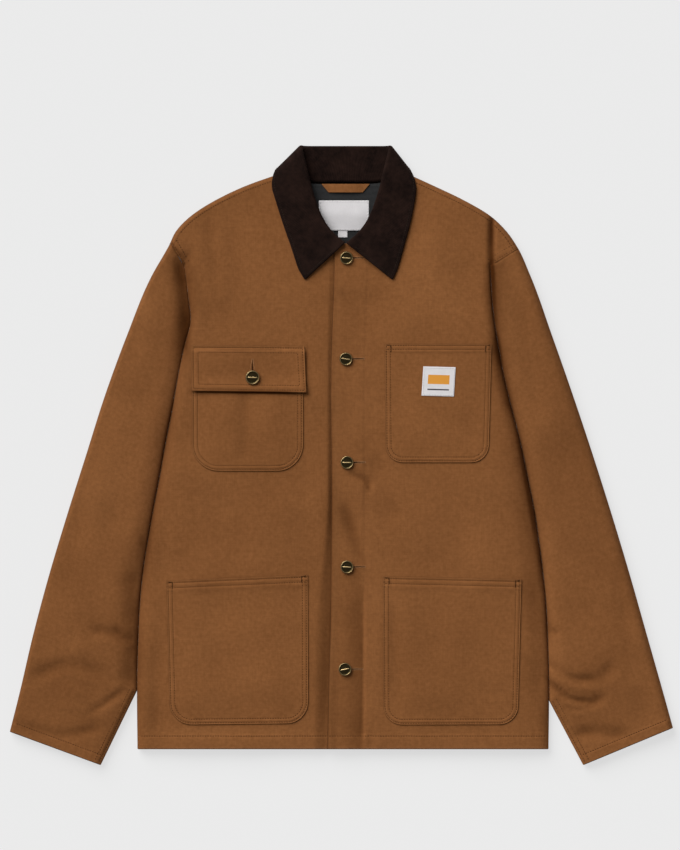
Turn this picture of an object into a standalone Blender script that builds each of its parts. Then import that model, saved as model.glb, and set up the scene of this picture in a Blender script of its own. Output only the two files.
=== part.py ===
"""Chore jacket laid flat on a table, front up and buttoned. Each cut piece is a cloth wall.

Frame: X runs across the jacket (+X is the wearer's left), Y runs up the body from hem to
collar, Z is up off the table. The origin is on the table under the middle of the jacket.
Sizes are millimetres; MM turns a finished shape into Blender's metres.

The upper layer (fronts and top sleeves) shares one height field, so its pieces meet at
their seams. The lower layer (back and under sleeves) lies on the table. Both layers roll
round to meet half way up at the side seams, shoulders and sleeve edges, which leaves a
hollow between them that opens at the neck, the hem and the cuffs.
"""

import math

import bmesh
import bpy
import numpy as np
from mathutils.bvhtree import BVHTree

MM = 0.001

# ---- driving sizes --------------------------------------------------------------------
BODY_WALL = 2.2       # canvas shell with its blanket lining
SLEEVE_WALL = 2.0
PATCH_WALL = 1.2      # one hemmed ply of canvas, as a pocket or flap is
COLLAR_WALL = 2.6     # corduroy, interlining and under collar
LINING_WALL = 1.0
LABEL_WALL = 1.0
SEAM_GAP = 0.3        # between two pieces at a seam
LAY_GAP = 0.7         # under a piece that lies on another
MIDDLE = 6.0          # height of the side seams, half way up the flattened body
UNDER_ROLL = 8.0      # how far in the lower layer starts to curl up to a side seam
SHOULDER_ROLL = 14.0  # how far in the shoulder starts to round over
HEM_Y = -382.0
UNDERLAP_X = 24.0     # edge of the right front, hidden under the left front
UNDERLAP_SINK = 2.9   # how far the right front dips to pass under the left front
UNDERLAP_DIP = (-46.0, -20.0)   # X over which it dips
SEAM_END_Y = 246.0    # where the armhole seam leaves the shoulder and enters its fold
NECK_POINT_Y = 367.0  # where the shoulder meets the collar
NECK_RISE = 3.5       # height of the back near the neck, where it lies on the collar
NECK_RISE_Y = (285.0, 315.0)       # heights over which the back rises to that
NECK_RISE_SIDE = (100.0, 135.0)    # distances from the collar's middle over which it sinks
NECK_SHARE = 0.42     # share of a front's width that ends at the neckline
SLEEVE_WIDTH = 190.0  # about, for placing the rows of a sleeve's grid
SLEEVE_WRAP = 0.13    # share of its width that the top sleeve reaches round underneath
SLEEVE_ROLLS = (24.0, 30.0)        # how far the sleeve's inner and outer edges round over
FREE_EDGE_ROLLS = (24.0, 12.0)     # the same on its free inner edge, at the body and the cuff
FREE_EDGE_REACH = 30.0             # how far above the body's edge that one still shapes it
COLLAR_X = 6.0        # middle of the collar
NECK_GAP = 2.1        # between the body's neck edge and the middle of the collar's wall
COLLAR_FOLD = 2.1     # radius of the fold from collar stand to fall, in mid wall
RIGHT, LEFT = -1, 1   # the wearer's sides, as the sign of X
SIDE_NAMES = {RIGHT: "right", LEFT: "left"}
TIP_Y = 271.0         # shoulder tip, where the armhole seam meets the outline


def table(columns, *rows):
    """The rows as one array for each named column."""
    return dict(zip(columns.split(), np.array(rows, float).T))


# Fold between the body and a sleeve, then the free side edge below the sleeve. 'trough' is
# how far the upper layer sinks there, 1 being down to the side seam; 'under' is how far
# the lower layer curls up to meet it; 'body' and 'sleeve' are how wide each rounds over.
SIDE = table(
    "y      right  left   trough under body sleeve",
    (-382,  264.6, 269.8, 1.00,  1.0,  14,  16),
    (-307,  265.2, 270.4, 1.00,  1.0,  18,  24),
    (-240,  263.9, 268.6, 1.00,  1.0,  20,  28),
    (-188,  261.3, 266.0, 1.00,  1.0,  20,  28),
    (-150,  257.4, 262.0, 1.00,  1.0,  18,  28),
    (-110,  251.0, 256.9, 1.00,  1.0,  17,  28),
    (-72,   244.4, 251.3, 1.00,  1.0,  16,  28),
    (-32,   236.6, 243.1, 1.00,  1.0,  16,  28),
    (19,    227.5, 232.5, 0.90,  0.6,  15,  28),
    (58,    219.7, 222.5, 0.80,  0.1,  15,  27),
    (103,   211.9, 211.5, 0.74,  0.0,  14,  26),
    (142,   204.8, 204.5, 0.72,  0.0,  13,  24),
    (172,   199.5, 199.5, 0.70,  0.0,  12,  22),
    (205,   200.5, 196.0, 0.60,  0.0,  12,  20),
    (246,   204.0, 194.0, 0.35,  0.0,  12,  16),
)

# Outer edge seen from above: the outside of the sleeve, then the shoulder line.
OUTLINE = table(
    "y      right  left   roll",
    (-364,  431.5, 434.0, 12),
    (-313,  418.6, 419.9, 20),
    (-235,  400.4, 397.8, 28),
    (-157,  379.6, 375.7, 30),
    (-79,   356.2, 352.3, 30),
    (-1,    331.5, 327.6, 30),
    (77,    306.8, 301.6, 30),
    (155,   278.2, 274.3, 30),
    (233,   245.7, 246.0, 26),
    (271,   224.0, 228.5, 20),
    (292,   213.3, 213.5, 16),
    (311.4, 193.5, 192.5, 14),
    (331,   162.5, 159.0, 14),
    (350.4, 121.0, 118.3, 13),
    (367,   74.0,  82.0,  12),
)

# How high the upper layer stands.
LOFT = table(
    "y      body  sleeve",
    (-404,  13.5, 12.0),
    (-382,  14.0, 12.5),
    (-320,  16.0, 15.0),
    (-240,  17.0, 18.0),
    (-100,  17.5, 19.0),
    (100,   17.5, 19.0),
    (200,   17.0, 18.0),
    (246,   16.5, 16.5),
    (271,   16.0, 16.0),
    (311,   15.2, 15.2),
    (368,   14.2, 14.2),
)

# Sleeve ends. 'split' is where the sleeve leaves the body's edge; the cuff runs from its
# outer corner to its inner corner.
CUFF = {
    RIGHT: dict(split=-307.0, outer_y=-359.5, inner=(312.0, -403.0)),
    LEFT: dict(split=-320.0, outer_y=-354.5, inner=(314.5, -403.0)),
}

# Opening edge of the left front, from hem to neck.
FRONT_EDGE = table(
    "x      y",
    (-16.9, -382),
    (-15.0, -300),
    (-13.0, -220),
    (-11.7, -60),
    (-11.7, 128),
    (-8.0,  244),
    (-8.0,  275),
)

# Front necklines, from the opening edge to the neck point; 'out' is away from X = 0. The
# collar's end is at the second row.
NECKLINE = {
    RIGHT: table(
        "out   y",
        (-24,  275),
        (-4,   274.5),
        (14,   277),
        (34,   292),
        (50,   314),
        (62,   341),
        (74,   367),
    ),
    LEFT: table(
        "out   y",
        (-8,   275),
        (8,    274),
        (26,   277),
        (46,   292),
        (62,   314),
        (74,   341),
        (82,   367),
    ),
}
# Back neckline from neck point to neck point.
BACK_NECKLINE = table(
    "x     y",
    (-74,  367),
    (-66,  359),
    (-48,  354),
    (4,    352),
    (56,   354),
    (74,   359),
    (82,   367),
)

# Collar sections from a front end (first row) to the middle of the back (last row), the
# same on both sides of COLLAR_X. 'neck' is the place along the neckline, 1 being the neck
# point and 2 the middle of the back, and 'nz' its height; r is the roll line; e is the
# outer edge; 'turn' is the side to which the fall lies over the stand, in degrees: 90 is
# above it, 0 outside and -90 below; 'right' and 'left' are how much further in that side's
# edge lies.
COLLAR = table(
    "neck  nz    r    ry     rz    e     ey     ez    turn right left",
    (0.00, 17.9, 2.5, 275.0, 20.0, 60.7, 228.7, 18.9, 90,  8,    0),
    (0.08, 16.2, 8,   280.0, 18.6, 65.0, 236.0, 18.9, 90,  8,    1),
    (0.17, 14.6, 15,  286.0, 17.2, 69.5, 245.0, 18.8, 90,  8,    2),
    (0.36, 14.2, 27,  301.0, 16.8, 78.0, 271.0, 18.5, 90,  8,    3),
    (0.57, 14.0, 37,  322.0, 16.6, 86.0, 301.0, 18.1, 90,  5.5,  3),
    (0.76, 13.4, 45,  347.0, 16.4, 92.0, 331.0, 17.6, 90,  2,    3),
    (0.88, 12.4, 51,  372.0, 15.8, 94.0, 347.0, 17.2, 85,  -0.5, 3.5),
    (0.95, 10.2, 56,  392.0, 13.6, 92.0, 359.5, 14.2, 55,  -2,   4),
    (1.00, 7.2,  57,  399.4, 9.8,  88.5, 368.5, 9.0,  0,   -2.5, 4.5),
    (1.05, 5.8,  54,  399.8, 6.6,  88.0, 369.0, 4.8,  -45, -2.5, 4.5),
    (1.11, 5.2,  50,  399.8, 4.9,  86.5, 367.5, 1.6,  -72, -2,   4),
    (1.25, 4.8,  42,  399.8, 3.8,  77.0, 350.0, 1.4,  -87, -1,   2),
    (1.60, 4.7,  22,  399.8, 3.4,  42.0, 328.0, 1.4,  -90, 0,    0),
    (2.00, 4.7,  0,   399.8, 3.4,  0,    323.0, 1.4,  -90, 0,    0),
)
COLLAR_STATIONS = 19      # on each side

# Heights at which the side edge is cut into sections, close together at the elbow folds.
# Fronts and top sleeves share all of them, and the lower layer every second one, so that
# the chords of neighbours match.
SECTION_Y = (
    -300, -289, -277, -264, -250, -236, -222, -206, -184, -154, -120, -86, -50, -12,
    22, 56, 88, 120, 150, 178, 202, 224,
)

# Broad folds of the upper layer. Each runs from (x0, y0) through (x1, y1) to (x2, y2);
# 'rise' is its height, below zero for a trough, and 'wide' is its half width.
BODY_FOLDS = table(
    "x0    y0    x1    y1    x2    y2    wide  rise",
    (22,   -150, 22,   -260, 24,   -372, 15,   -1.5),
    (44,   -120, 46,   -250, 44,   -372, 14,   1.0),
    (6,    -18,  18,   -60,  26,   -110, 15,   -1.2),
    (60,   -14,  68,   -60,  84,   -130, 22,   -1.3),
    (-40,  -20,  -52,  -80,  -80,  -140, 26,   -1.0),
    (-234, -250, -238, -310, -234, -375, 16,   -1.5),
    (240,  -240, 246,  -300, 242,  -370, 16,   -1.5),
    (-170, 240,  -176, 190,  -190, 160,  18,   -1.4),
    (-110, 250,  -118, 215,  -140, 185,  24,   -1.2),
    (42,   215,  30,   180,  18,   150,  20,   -1.0),
    (150,  250,  160,  215,  172,  185,  22,   -1.2),
    (192,  308,  194,  280,  194,  246,  13,   -3.5),
    (-196, 266,  -200, 240,  -198, 215,  11,   -1.8),
)
SLEEVE_FOLDS = table(
    "x0    y0    x1    y1    x2    y2    wide  rise",
    (272,  -272, 312,  -292, 368,  -268, 11,   -2.6),
    (274,  -292, 306,  -314, 350,  -306, 9,    -2.6),
    (284,  -314, 304,  -330, 322,  -334, 8,    -1.8),
    (306,  -352, 332,  -360, 360,  -356, 13,   -1.6),
    (268,  -226, 286,  -222, 304,  -214, 10,   -1.6),
    (262,  40,   285,  -60,  318,  -170, 26,   -1.6),
    (-246, -104, -254, -118, -264, -132, 10,   -2.4),
    (-306, -218, -284, -220, -266, -230, 10,   -2.4),
    (-322, -330, -304, -318, -282, -300, 10,   -2.4),
    (-364, -276, -330, -272, -296, -290, 16,   -1.8),
    (-398, -352, -370, -352, -340, -350, 14,   -1.5),
    (-262, 60,   -280, -20,  -306, -120, 24,   -1.4),
)

# Patch pockets and the flap in plan. left and right are the side edges' X at the bottom and
# the top; bottom and top are the Y of those edges at their right and left ends as worn.
PATCHES = {
    "chest_pocket_right": dict(
        side=RIGHT, left=(-193.0, -193.7), right=(-49.6, -49.6), bottom=(-21.0, -21.0),
        top=(136.0, 136.0), corner=34.0),
    "chest_pocket_left": dict(
        side=LEFT, left=(58.5, 57.5), right=(191.4, 195.6), bottom=(-10.0, -10.0),
        top=(143.4, 143.2), corner=22.0),
    "lower_pocket_right": dict(
        side=RIGHT, left=(-222.0, -226.6), right=(-42.8, -43.6), bottom=(-350.8, -349.4),
        top=(-164.6, -156.8), corner=28.0),
    "lower_pocket_left": dict(
        side=LEFT, left=(55.6, 55.1), right=(229.5, 234.4), bottom=(-351.0, -350.6),
        top=(-158.8, -162.8), corner=24.0),
}
FLAP = dict(left=(-193.8, -194.5), right=(-45.3, -47.8), bottom=(83.0, 81.0), top=(141.8, 140.6))
FLAP_STEP = 1.5           # from the pocket's top to where the flap has come down on the front
CHEST_PATCH = dict(centre=(126.9, 95.0), width=44.0, height=39.0, tilt=-1.5)

# What shows inside the neck, in plan. The loop's sewn ends spread wider than its middle.
LINING = dict(left=-56.0, right=66.0, bottom=262.0, top=350.0)
HANGER_LOOP = dict(low=341.0, high=349.5, low_half=22.0, high_half=31.0)
NECK_LABEL = dict(left=-28.5, right=36.0, bottom=291.5, top=330.0)
SIZE_TAB = dict(left=-3.5, right=8.0, bottom=282.5, top=291.0)
UNDER_FRONTS = 11.0       # a height between the back and the fronts at the neck
LINING_GAP = 0.8
LOOP_GAP = 0.5
LABEL_GAP = 0.4

# Buttons, in the middle of each: five down the front and one on the flap. The profile goes
# from the middle of the foot round the rim to the middle of the face.
BUTTON_RADIUS = 8.5
BUTTON_SIDES = 16
BUTTON_PROFILE = table(
    "radius  height",
    (0,      0),
    (6.0,    0),
    (8.5,    1.4),
    (8.5,    2.6),
    (7.7,    3.4),
    (6.6,    2.7),
    (0,      2.5),
)
BUTTONS = {
    "button_1": (7.2, 255.5),
    "button_2": (6.5, 124.2),
    "button_3": (7.8, -10.4),
    "button_4": (7.8, -146.3),
    "button_5": (5.2, -279.2),
    "flap_button": (-115.0, 100.2),
}


# ---- curves and surfaces --------------------------------------------------------------
def smooth(keys, values, at):
    """Cubic through the values; each one's slope is that between its two neighbours."""
    slopes = np.gradient(values, keys)
    at = np.clip(at, keys[0], keys[-1])
    i = np.clip(np.searchsorted(keys, at, side="right") - 1, 0, len(keys) - 2)
    step = keys[i + 1] - keys[i]
    t = (at - keys[i]) / step
    return (
        (1 + 2 * t) * (1 - t) ** 2 * values[i]
        + t * (1 - t) ** 2 * step * slopes[i]
        + t * t * (3 - 2 * t) * values[i + 1]
        - t * t * (1 - t) * step * slopes[i + 1]
    )


def lengths(path):
    """Distance along the path to each of its points."""
    steps = np.linalg.norm(np.diff(path, axis=0), axis=1)
    return np.concatenate([[0.0], np.cumsum(steps)])


def fractions(path):
    return lengths(path) / lengths(path)[-1]


def smooth_path(points, at):
    """Points at these fractions of the length of a smooth curve through the given ones."""
    points = np.array(points, float)
    chord = lengths(points)
    fine = np.linspace(0, chord[-1], 200)
    curve = np.stack([smooth(chord, column, fine) for column in points.T], axis=1)
    share = fractions(curve)
    return np.stack([np.interp(at, share, column) for column in curve.T], axis=1)


def eased(value, low, high):
    """0 below low, 1 above high, and a smooth step between."""
    t = np.clip((value - low) / (high - low), 0, 1)
    return t * t * (3 - 2 * t)


def nearest_on(path, points):
    """(distance to the path, fraction of its segments passed) for each point in plan."""
    flat = points.reshape(-1, 1, 2)
    start, run = path[None, :-1], np.diff(path, axis=0)[None]
    t = np.clip(((flat - start) * run).sum(2) / (run * run).sum(2), 0, 1)
    away = np.linalg.norm(start + t[..., None] * run - flat, axis=2)
    i = away.argmin(1)
    row = np.arange(len(i))
    shape = points.shape[:-1]
    return away[row, i].reshape(shape), ((i + t[row, i]) / run.shape[1]).reshape(shape)


def roll(distance, radius):
    """Share of full height at a distance from an edge: a quarter ellipse, upright there."""
    inward = np.clip(distance / radius, 0, 1)
    return np.sqrt(1 - (1 - inward) ** 2)


def roll_steps(radius, count):
    """Distances from an edge that cut a roll into equal turns."""
    return radius * (1 - np.cos(np.linspace(0, math.pi / 2, count + 1)))


def coons(bottom, top, left, right, u, v):
    """Grid between four border curves; rows follow v, columns follow u.

    Rows are straight blends of bottom and top, moved by how far the side borders bow out.
    That move fades with the square of the distance from its border.
    """
    u, v = np.asarray(u)[None, :, None], np.asarray(v)[:, None, None]
    ruled = (1 - v) * bottom[None] + v * top[None]
    left_bow, right_bow = left[:, None] - ruled[:, :1], right[:, None] - ruled[:, -1:]
    return ruled + (1 - u) ** 2 * left_bow + u ** 2 * right_bow


def straight(start, end, at):
    at = np.asarray(at)[:, None]
    return np.asarray(start) * (1 - at) + np.asarray(end) * at


def fold_relief(folds, points):
    """Sum of the folds' heights: across a fold a bell curve, fading out at both ends."""
    total = np.zeros(points.shape[:-1])
    for i in range(len(folds["wide"])):
        ends = [(folds[f"x{k}"][i], folds[f"y{k}"][i]) for k in range(3)]
        away, along = nearest_on(smooth_path(ends, np.linspace(0, 1, 13)), points)
        fade = np.minimum(1, 4 * np.minimum(along, 1 - along) + 0.35)
        total += folds["rise"][i] * fade * np.exp(-((away / folds["wide"][i]) ** 2))
    return total


# ---- lines of the jacket in plan ------------------------------------------------------
def edge_line(rows, side, y):
    """The side line or the outline at heights y."""
    y = np.asarray(y, float)
    return np.stack([side * smooth(rows["y"], rows[SIDE_NAMES[side]], y), y], axis=-1)


def fold_line(side, low):
    """Points down the fold between body and sleeve, and down the free edge to low."""
    return edge_line(SIDE, side, np.linspace(low, SEAM_END_Y, 90))


def whole_outline(side):
    return edge_line(OUTLINE, side, np.linspace(OUTLINE["y"][0], NECK_POINT_Y, 120))


def sleeve_inner_edge(side):
    """Free inner edge of the sleeve, from the body down to the cuff."""
    out, y = CUFF[side]["inner"]
    return np.array([edge_line(SIDE, side, CUFF[side]["split"]), (side * out, y)])


def armhole_seam(side, at):
    """Straight part of the armhole seam, from its fold (0) to the shoulder tip (1)."""
    tip = edge_line(OUTLINE, side, TIP_Y)
    return straight(edge_line(SIDE, side, SEAM_END_Y), tip, at)


def shoulder_roll_at(side, turns):
    """Places along the straight armhole seam where the shoulder's roll is cut."""
    seam_length = np.linalg.norm(np.subtract(*armhole_seam(side, (0, 1))))
    return 1 - roll_steps(SHOULDER_ROLL, turns)[::-1] / seam_length


def shared_sections(side, every):
    """Section heights where the sleeve lies against the body, from the split upwards."""
    above = [y for y in SECTION_Y if y > CUFF[side]["split"] + 4]
    return np.array([CUFF[side]["split"], *above[every - 1::every], SEAM_END_Y])


def body_side(side, every, turns):
    """Side edge of the body from hem to shoulder tip: free edge, fold, armhole seam."""
    free = np.linspace(HEM_Y, CUFF[side]["split"], 4)[:-1]
    return np.concatenate([
        edge_line(SIDE, side, free),
        edge_line(SIDE, side, shared_sections(side, every)),
        armhole_seam(side, shoulder_roll_at(side, turns)),
    ])


def moved_aside(path, distance):
    """The path moved level to its left by a distance."""
    run = np.gradient(path, axis=0)
    left = np.stack([-run[:, 1], run[:, 0]], axis=1)
    return path + distance * left / np.linalg.norm(left, axis=1, keepdims=True)


# ---- height field ---------------------------------------------------------------------
def trough_at(side, y):
    """How far the upper layer sinks along the side line; nothing at the shoulder tip."""
    return smooth(SIDE["y"], SIDE["trough"], y) * (1 - eased(y, SEAM_END_Y - 6, TIP_Y))


def top_height(side, points, part):
    """Outer height of the upper layer, for part 'body' or 'sleeve'."""
    y = points[..., 1]
    low = HEM_Y if part == "body" else CUFF[side]["split"]
    full = smooth(LOFT["y"], LOFT[part], y)
    full = full + fold_relief(BODY_FOLDS if part == "body" else SLEEVE_FOLDS, points)
    away, along = nearest_on(whole_outline(side), points)
    outline_y = OUTLINE["y"][0] + along * (NECK_POINT_Y - OUTLINE["y"][0])
    share = roll(away, smooth(OUTLINE["y"], OUTLINE["roll"], outline_y))
    away, along = nearest_on(fold_line(side, low), points)
    line_y = low + along * (SEAM_END_Y - low)
    sunk = trough_at(side, np.maximum(line_y, y))
    share = share * (1 - sunk * (1 - roll(away, smooth(SIDE["y"], SIDE[part], line_y))))
    if part == "sleeve":
        away, along = nearest_on(sleeve_inner_edge(side), points)
        inner = roll(away, np.interp(along, (0, 1), FREE_EDGE_ROLLS))
        share = np.where(y < low + FREE_EDGE_REACH, np.minimum(share, inner), share)
    return MIDDLE + (full - MIDDLE) * share


def bottom_height(side, points, part):
    """Outer height of the lower layer: on the table, curled up at seams and edges."""
    y = points[..., 1]
    low = HEM_Y if part == "body" else CUFF[side]["split"]
    away, _ = nearest_on(whole_outline(side), points)
    curl = 1 - roll(away, UNDER_ROLL)
    away, along = nearest_on(fold_line(side, low), points)
    under = np.clip(smooth(SIDE["y"], SIDE["under"], low + along * (SEAM_END_Y - low)), 0, 1)
    curl = np.maximum(curl, under * (1 - roll(away, UNDER_ROLL)))
    if part == "sleeve":
        away, _ = nearest_on(sleeve_inner_edge(side), points)
        near = y < low + UNDER_ROLL
        curl = np.where(near, np.maximum(curl, 1 - roll(away, UNDER_ROLL)), curl)
        return MIDDLE * curl
    beside = np.abs(points[..., 0] - COLLAR_X)
    rise = NECK_RISE * eased(y, *NECK_RISE_Y) * (1 - eased(beside, *NECK_RISE_SIDE))
    return rise + (MIDDLE - rise) * curl


def front_height(side, plan):
    """Outer height of a front. The right one sinks to pass under the left one."""
    height = top_height(side, plan, "body")
    if side == RIGHT:
        height = height - UNDERLAP_SINK * eased(plan[..., 0], *UNDERLAP_DIP)
    return height


# ---- making a wall --------------------------------------------------------------------
BORDERS = {
    "first_row": (0, slice(None)),
    "last_row": (-1, slice(None)),
    "first_column": (slice(None), 0),
    "last_column": (slice(None), -1),
}


def grid_normals(grid):
    """Unit normals of a grid of points, by the differences along its rows and columns."""
    normals = np.cross(np.gradient(grid, axis=1), np.gradient(grid, axis=0))
    return normals / np.linalg.norm(normals, axis=2, keepdims=True)


def level_across(run):
    """Level unit vectors square to the plan directions in run."""
    across = np.stack([run[..., 1], -run[..., 0], np.zeros(run.shape[:-1])], axis=-1)
    return across / np.linalg.norm(across, axis=-1, keepdims=True)


def square_border(normals, border, across, rolled):
    """Turns the normals along one border of a wall, which sets how its rim faces.

    On a cut edge (rolled 0) the rim stands square to 'across'. On an edge that has rolled
    round to a seam (rolled 1) the rim is level. Shares between blend the two.
    """
    sideways = (normals[border] * across).sum(1, keepdims=True)
    cut = normals[border] - sideways * across
    cut /= np.linalg.norm(cut, axis=1, keepdims=True)
    level = np.where(sideways < 0, -across, across)
    share = np.broadcast_to(np.asarray(rolled, float), (len(cut),))[:, None]
    mixed = (1 - share) * cut + share * level
    normals[border] = mixed / np.linalg.norm(mixed, axis=1, keepdims=True)


def closed_shell(outer, inner):
    """Vertices and faces of the solid between two grids."""
    rows, columns = outer.shape[:2]
    points = np.concatenate([outer.reshape(-1, 3), inner.reshape(-1, 3)])
    index = np.arange(rows * columns).reshape(rows, columns)
    under = rows * columns
    faces = []
    for layer, turn in ((index, 1), (index + under, -1)):
        corners = (layer[:-1, :-1], layer[:-1, 1:], layer[1:, 1:], layer[1:, :-1])
        faces.append(np.stack(corners, axis=-1).reshape(-1, 4)[:, ::turn])
    border = np.concatenate([index[0], index[1:, -1], index[-1, -2::-1], index[-2:0:-1, 0]])
    after = np.roll(border, -1)
    faces.append(np.stack([after, border, border + under, after + under], axis=1))
    return points, np.concatenate(faces)


solids = {}   # (points, faces) of each finished piece, for what lies on it


def add_solid(name, points, faces, material):
    """One mesh object from millimetre points, its faces turned outwards."""
    faces = [tuple(map(int, face)) for face in faces]
    solids[name] = (points.tolist(), faces)
    mesh = bpy.data.meshes.new(name)
    mesh.from_pydata((points * MM).tolist(), [], faces)
    shape = bmesh.new()
    shape.from_mesh(mesh)
    bmesh.ops.recalc_face_normals(shape, faces=shape.faces)
    shape.to_mesh(mesh)
    shape.free()
    mesh.materials.append(material)
    mesh.shade_smooth()
    mesh.set_sharp_from_angle(angle=math.radians(40))
    obj = bpy.data.objects.new(name, mesh)
    bpy.context.scene.collection.objects.link(obj)
    return obj


def add_wall(name, outer, thickness, material, facing, edges):
    """A cloth wall under an outer grid.

    edges gives the rolled share of each border, or for a straight cut its plan direction.
    """
    normals = facing * grid_normals(outer)
    for border, edge in edges.items():
        if isinstance(edge, tuple):
            across, rolled = level_across(np.array(edge)), 0.0
        else:
            across, rolled = level_across(np.gradient(outer[BORDERS[border]], axis=0)), edge
        square_border(normals, BORDERS[border], across, rolled)
    add_solid(name, *closed_shell(outer, outer - thickness * normals), material)


def with_height(plan, height):
    return np.concatenate([plan, np.broadcast_to(height, plan.shape[:2])[..., None]], axis=-1)


def new_material(name, colour, roughness, metallic=0.0):
    made = bpy.data.materials.new(name)
    made.use_nodes = True
    shader = made.node_tree.nodes["Principled BSDF"]
    shader.inputs["Base Color"].default_value = (*colour, 1)
    shader.inputs["Roughness"].default_value = roughness
    shader.inputs["Metallic"].default_value = metallic
    return made


# ---- body -----------------------------------------------------------------------------
def side_rolled(side, path, part):
    """Rolled share along a side border: level at a side seam, upright at the armhole."""
    y = path[:, 1]
    rows = SIDE["trough"] if part == "top" else SIDE["under"]
    return np.clip(smooth(SIDE["y"], rows, y) - 0.7, 0, 0.3) / 0.3 * (y < SEAM_END_Y)


def build_front(side, cloth):
    """A front, from the opening edge to the side and from hem to neck and shoulder."""
    neck_columns, shoulder_columns, side_turns, shoulder_turns = 7, 7, 3, 3
    side_path = moved_aside(body_side(side, 1, shoulder_turns), side * SEAM_GAP / 2)
    v = fractions(side_path)
    if side == LEFT:
        edge = smooth_path(np.stack([FRONT_EDGE["x"], FRONT_EDGE["y"]], axis=1), v)
    else:
        edge = straight((UNDERLAP_X, HEM_Y), (UNDERLAP_X, NECKLINE[RIGHT]["y"][0]), v)
    width = abs(side_path[0, 0] - edge[0, 0])
    turns = 1 - roll_steps(SIDE["body"].max(), side_turns)[::-1] / width
    u = np.concatenate([
        np.linspace(0, NECK_SHARE, neck_columns + 1)[:-1],
        np.linspace(NECK_SHARE, turns[0], shoulder_columns + 1)[:-1],
        turns,
    ])
    neck = np.stack([side * NECKLINE[side]["out"], NECKLINE[side]["y"]], axis=1)
    neck = smooth_path(neck, u[:neck_columns + 1] / NECK_SHARE)
    shoulder = edge_line(OUTLINE, side, np.linspace(NECK_POINT_Y, TIP_Y, 40))
    shoulder = smooth_path(shoulder, (u[neck_columns + 1:] - NECK_SHARE) / (1 - NECK_SHARE))
    hem = straight(edge[0], side_path[0], u)
    plan = coons(hem, np.concatenate([neck, shoulder]), edge, side_path, u, v)
    grid = with_height(plan, front_height(side, plan))
    along_top = np.where(np.arange(len(u)) >= neck_columns, 1.0, 0.0)
    grid[-1, neck_columns:, 2] = MIDDLE + SEAM_GAP / 2
    rolled = side_rolled(side, plan[:, -1], "top")
    grid[rolled > 0.99, -1, 2] = MIDDLE + SEAM_GAP / 2
    edges = dict(first_row=0, first_column=0, last_row=along_top, last_column=rolled)
    add_wall(f"front_{SIDE_NAMES[side]}", grid, BODY_WALL, cloth, side, edges)


def build_back(cloth):
    """The back, from side to side on the table and from hem to neck and shoulders."""
    shoulder_columns, neck_columns, turns = 5, 8, 3
    right = moved_aside(body_side(RIGHT, 2, turns), -SEAM_GAP / 2)
    left = moved_aside(body_side(LEFT, 2, turns), SEAM_GAP / 2)
    v = (fractions(right) + fractions(left)) / 2
    roll_u = roll_steps(UNDER_ROLL, turns) / (left[0, 0] - right[0, 0])
    neck_from, neck_to = (BACK_NECKLINE["x"][[0, -1]] - right[0, 0]) / (left[0, 0] - right[0, 0])
    neck_share = (1 - np.cos(np.linspace(0, math.pi, neck_columns + 1))) / 2
    u = np.concatenate([
        roll_u[:-1],
        np.linspace(roll_u[-1], neck_from, shoulder_columns + 1)[:-1],
        (neck_from + neck_share * (neck_to - neck_from))[:-1],
        np.linspace(neck_to, 1 - roll_u[-1], shoulder_columns + 1)[:-1],
        1 - roll_u[::-1],
    ])
    first, last = turns + shoulder_columns, turns + shoulder_columns + neck_columns
    right_line, left_line = (
        edge_line(OUTLINE, side, np.linspace(TIP_Y, NECK_POINT_Y, 40)) for side in (RIGHT, LEFT)
    )
    top = np.concatenate([
        smooth_path(right_line, u[:first] / neck_from),
        smooth_path(
            np.stack([BACK_NECKLINE["x"], BACK_NECKLINE["y"]], axis=1),
            (u[first:last + 1] - neck_from) / (neck_to - neck_from),
        ),
        smooth_path(left_line[::-1], (u[last + 1:] - neck_to) / (1 - neck_to)),
    ])
    plan = coons(straight(right[0], left[0], u), top, right, left, u, v)
    side_of = plan[..., 0] < 0
    height = np.where(
        side_of, bottom_height(RIGHT, plan, "body"), bottom_height(LEFT, plan, "body")
    )
    grid = with_height(plan, height)
    along_top = np.where((np.arange(len(u)) <= first) | (np.arange(len(u)) >= last), 1.0, 0.0)
    grid[-1, along_top > 0, 2] = MIDDLE - SEAM_GAP / 2
    rolled = {}
    for side, column in ((RIGHT, 0), (LEFT, -1)):
        rolled[side] = side_rolled(side, plan[:, column], "under")
        grid[rolled[side] > 0.99, column, 2] = MIDDLE - SEAM_GAP / 2
    edges = dict(
        first_row=0, last_row=along_top, first_column=rolled[RIGHT], last_column=rolled[LEFT]
    )
    add_wall("back", grid, BODY_WALL, cloth, -1, edges)


# ---- sleeves --------------------------------------------------------------------------
def sleeve_plan(side, every, cuff_rows, u):
    """Plan grid of a sleeve: rows from cuff to armhole, columns from inner to outer edge."""
    free = sleeve_inner_edge(side)[::-1]
    inner = np.concatenate([
        straight(free[0], free[1], np.linspace(0, 1, cuff_rows + 1)[:-1]),
        edge_line(SIDE, side, shared_sections(side, every)),
        armhole_seam(side, shoulder_roll_at(side, 1)[:1]),
    ])
    inner = moved_aside(inner, -side * SEAM_GAP / 2)[:-1]
    inner[-1] += (side * SEAM_GAP, -SEAM_GAP)
    v = fractions(inner)
    outer = edge_line(OUTLINE, side, np.linspace(CUFF[side]["outer_y"], TIP_Y, 120))
    outer = smooth_path(outer, v)
    outer[-1] = moved_aside(armhole_seam(side, (0, 1)), -side * SEAM_GAP / 2)[1]
    u = np.concatenate([[0.0], u, [1.0]])
    cuff, seam = straight(inner[0], outer[0], u), straight(inner[-1], outer[-1], u)
    return coons(cuff, seam, inner, outer, u, v)[:, 1:-1]


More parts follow.
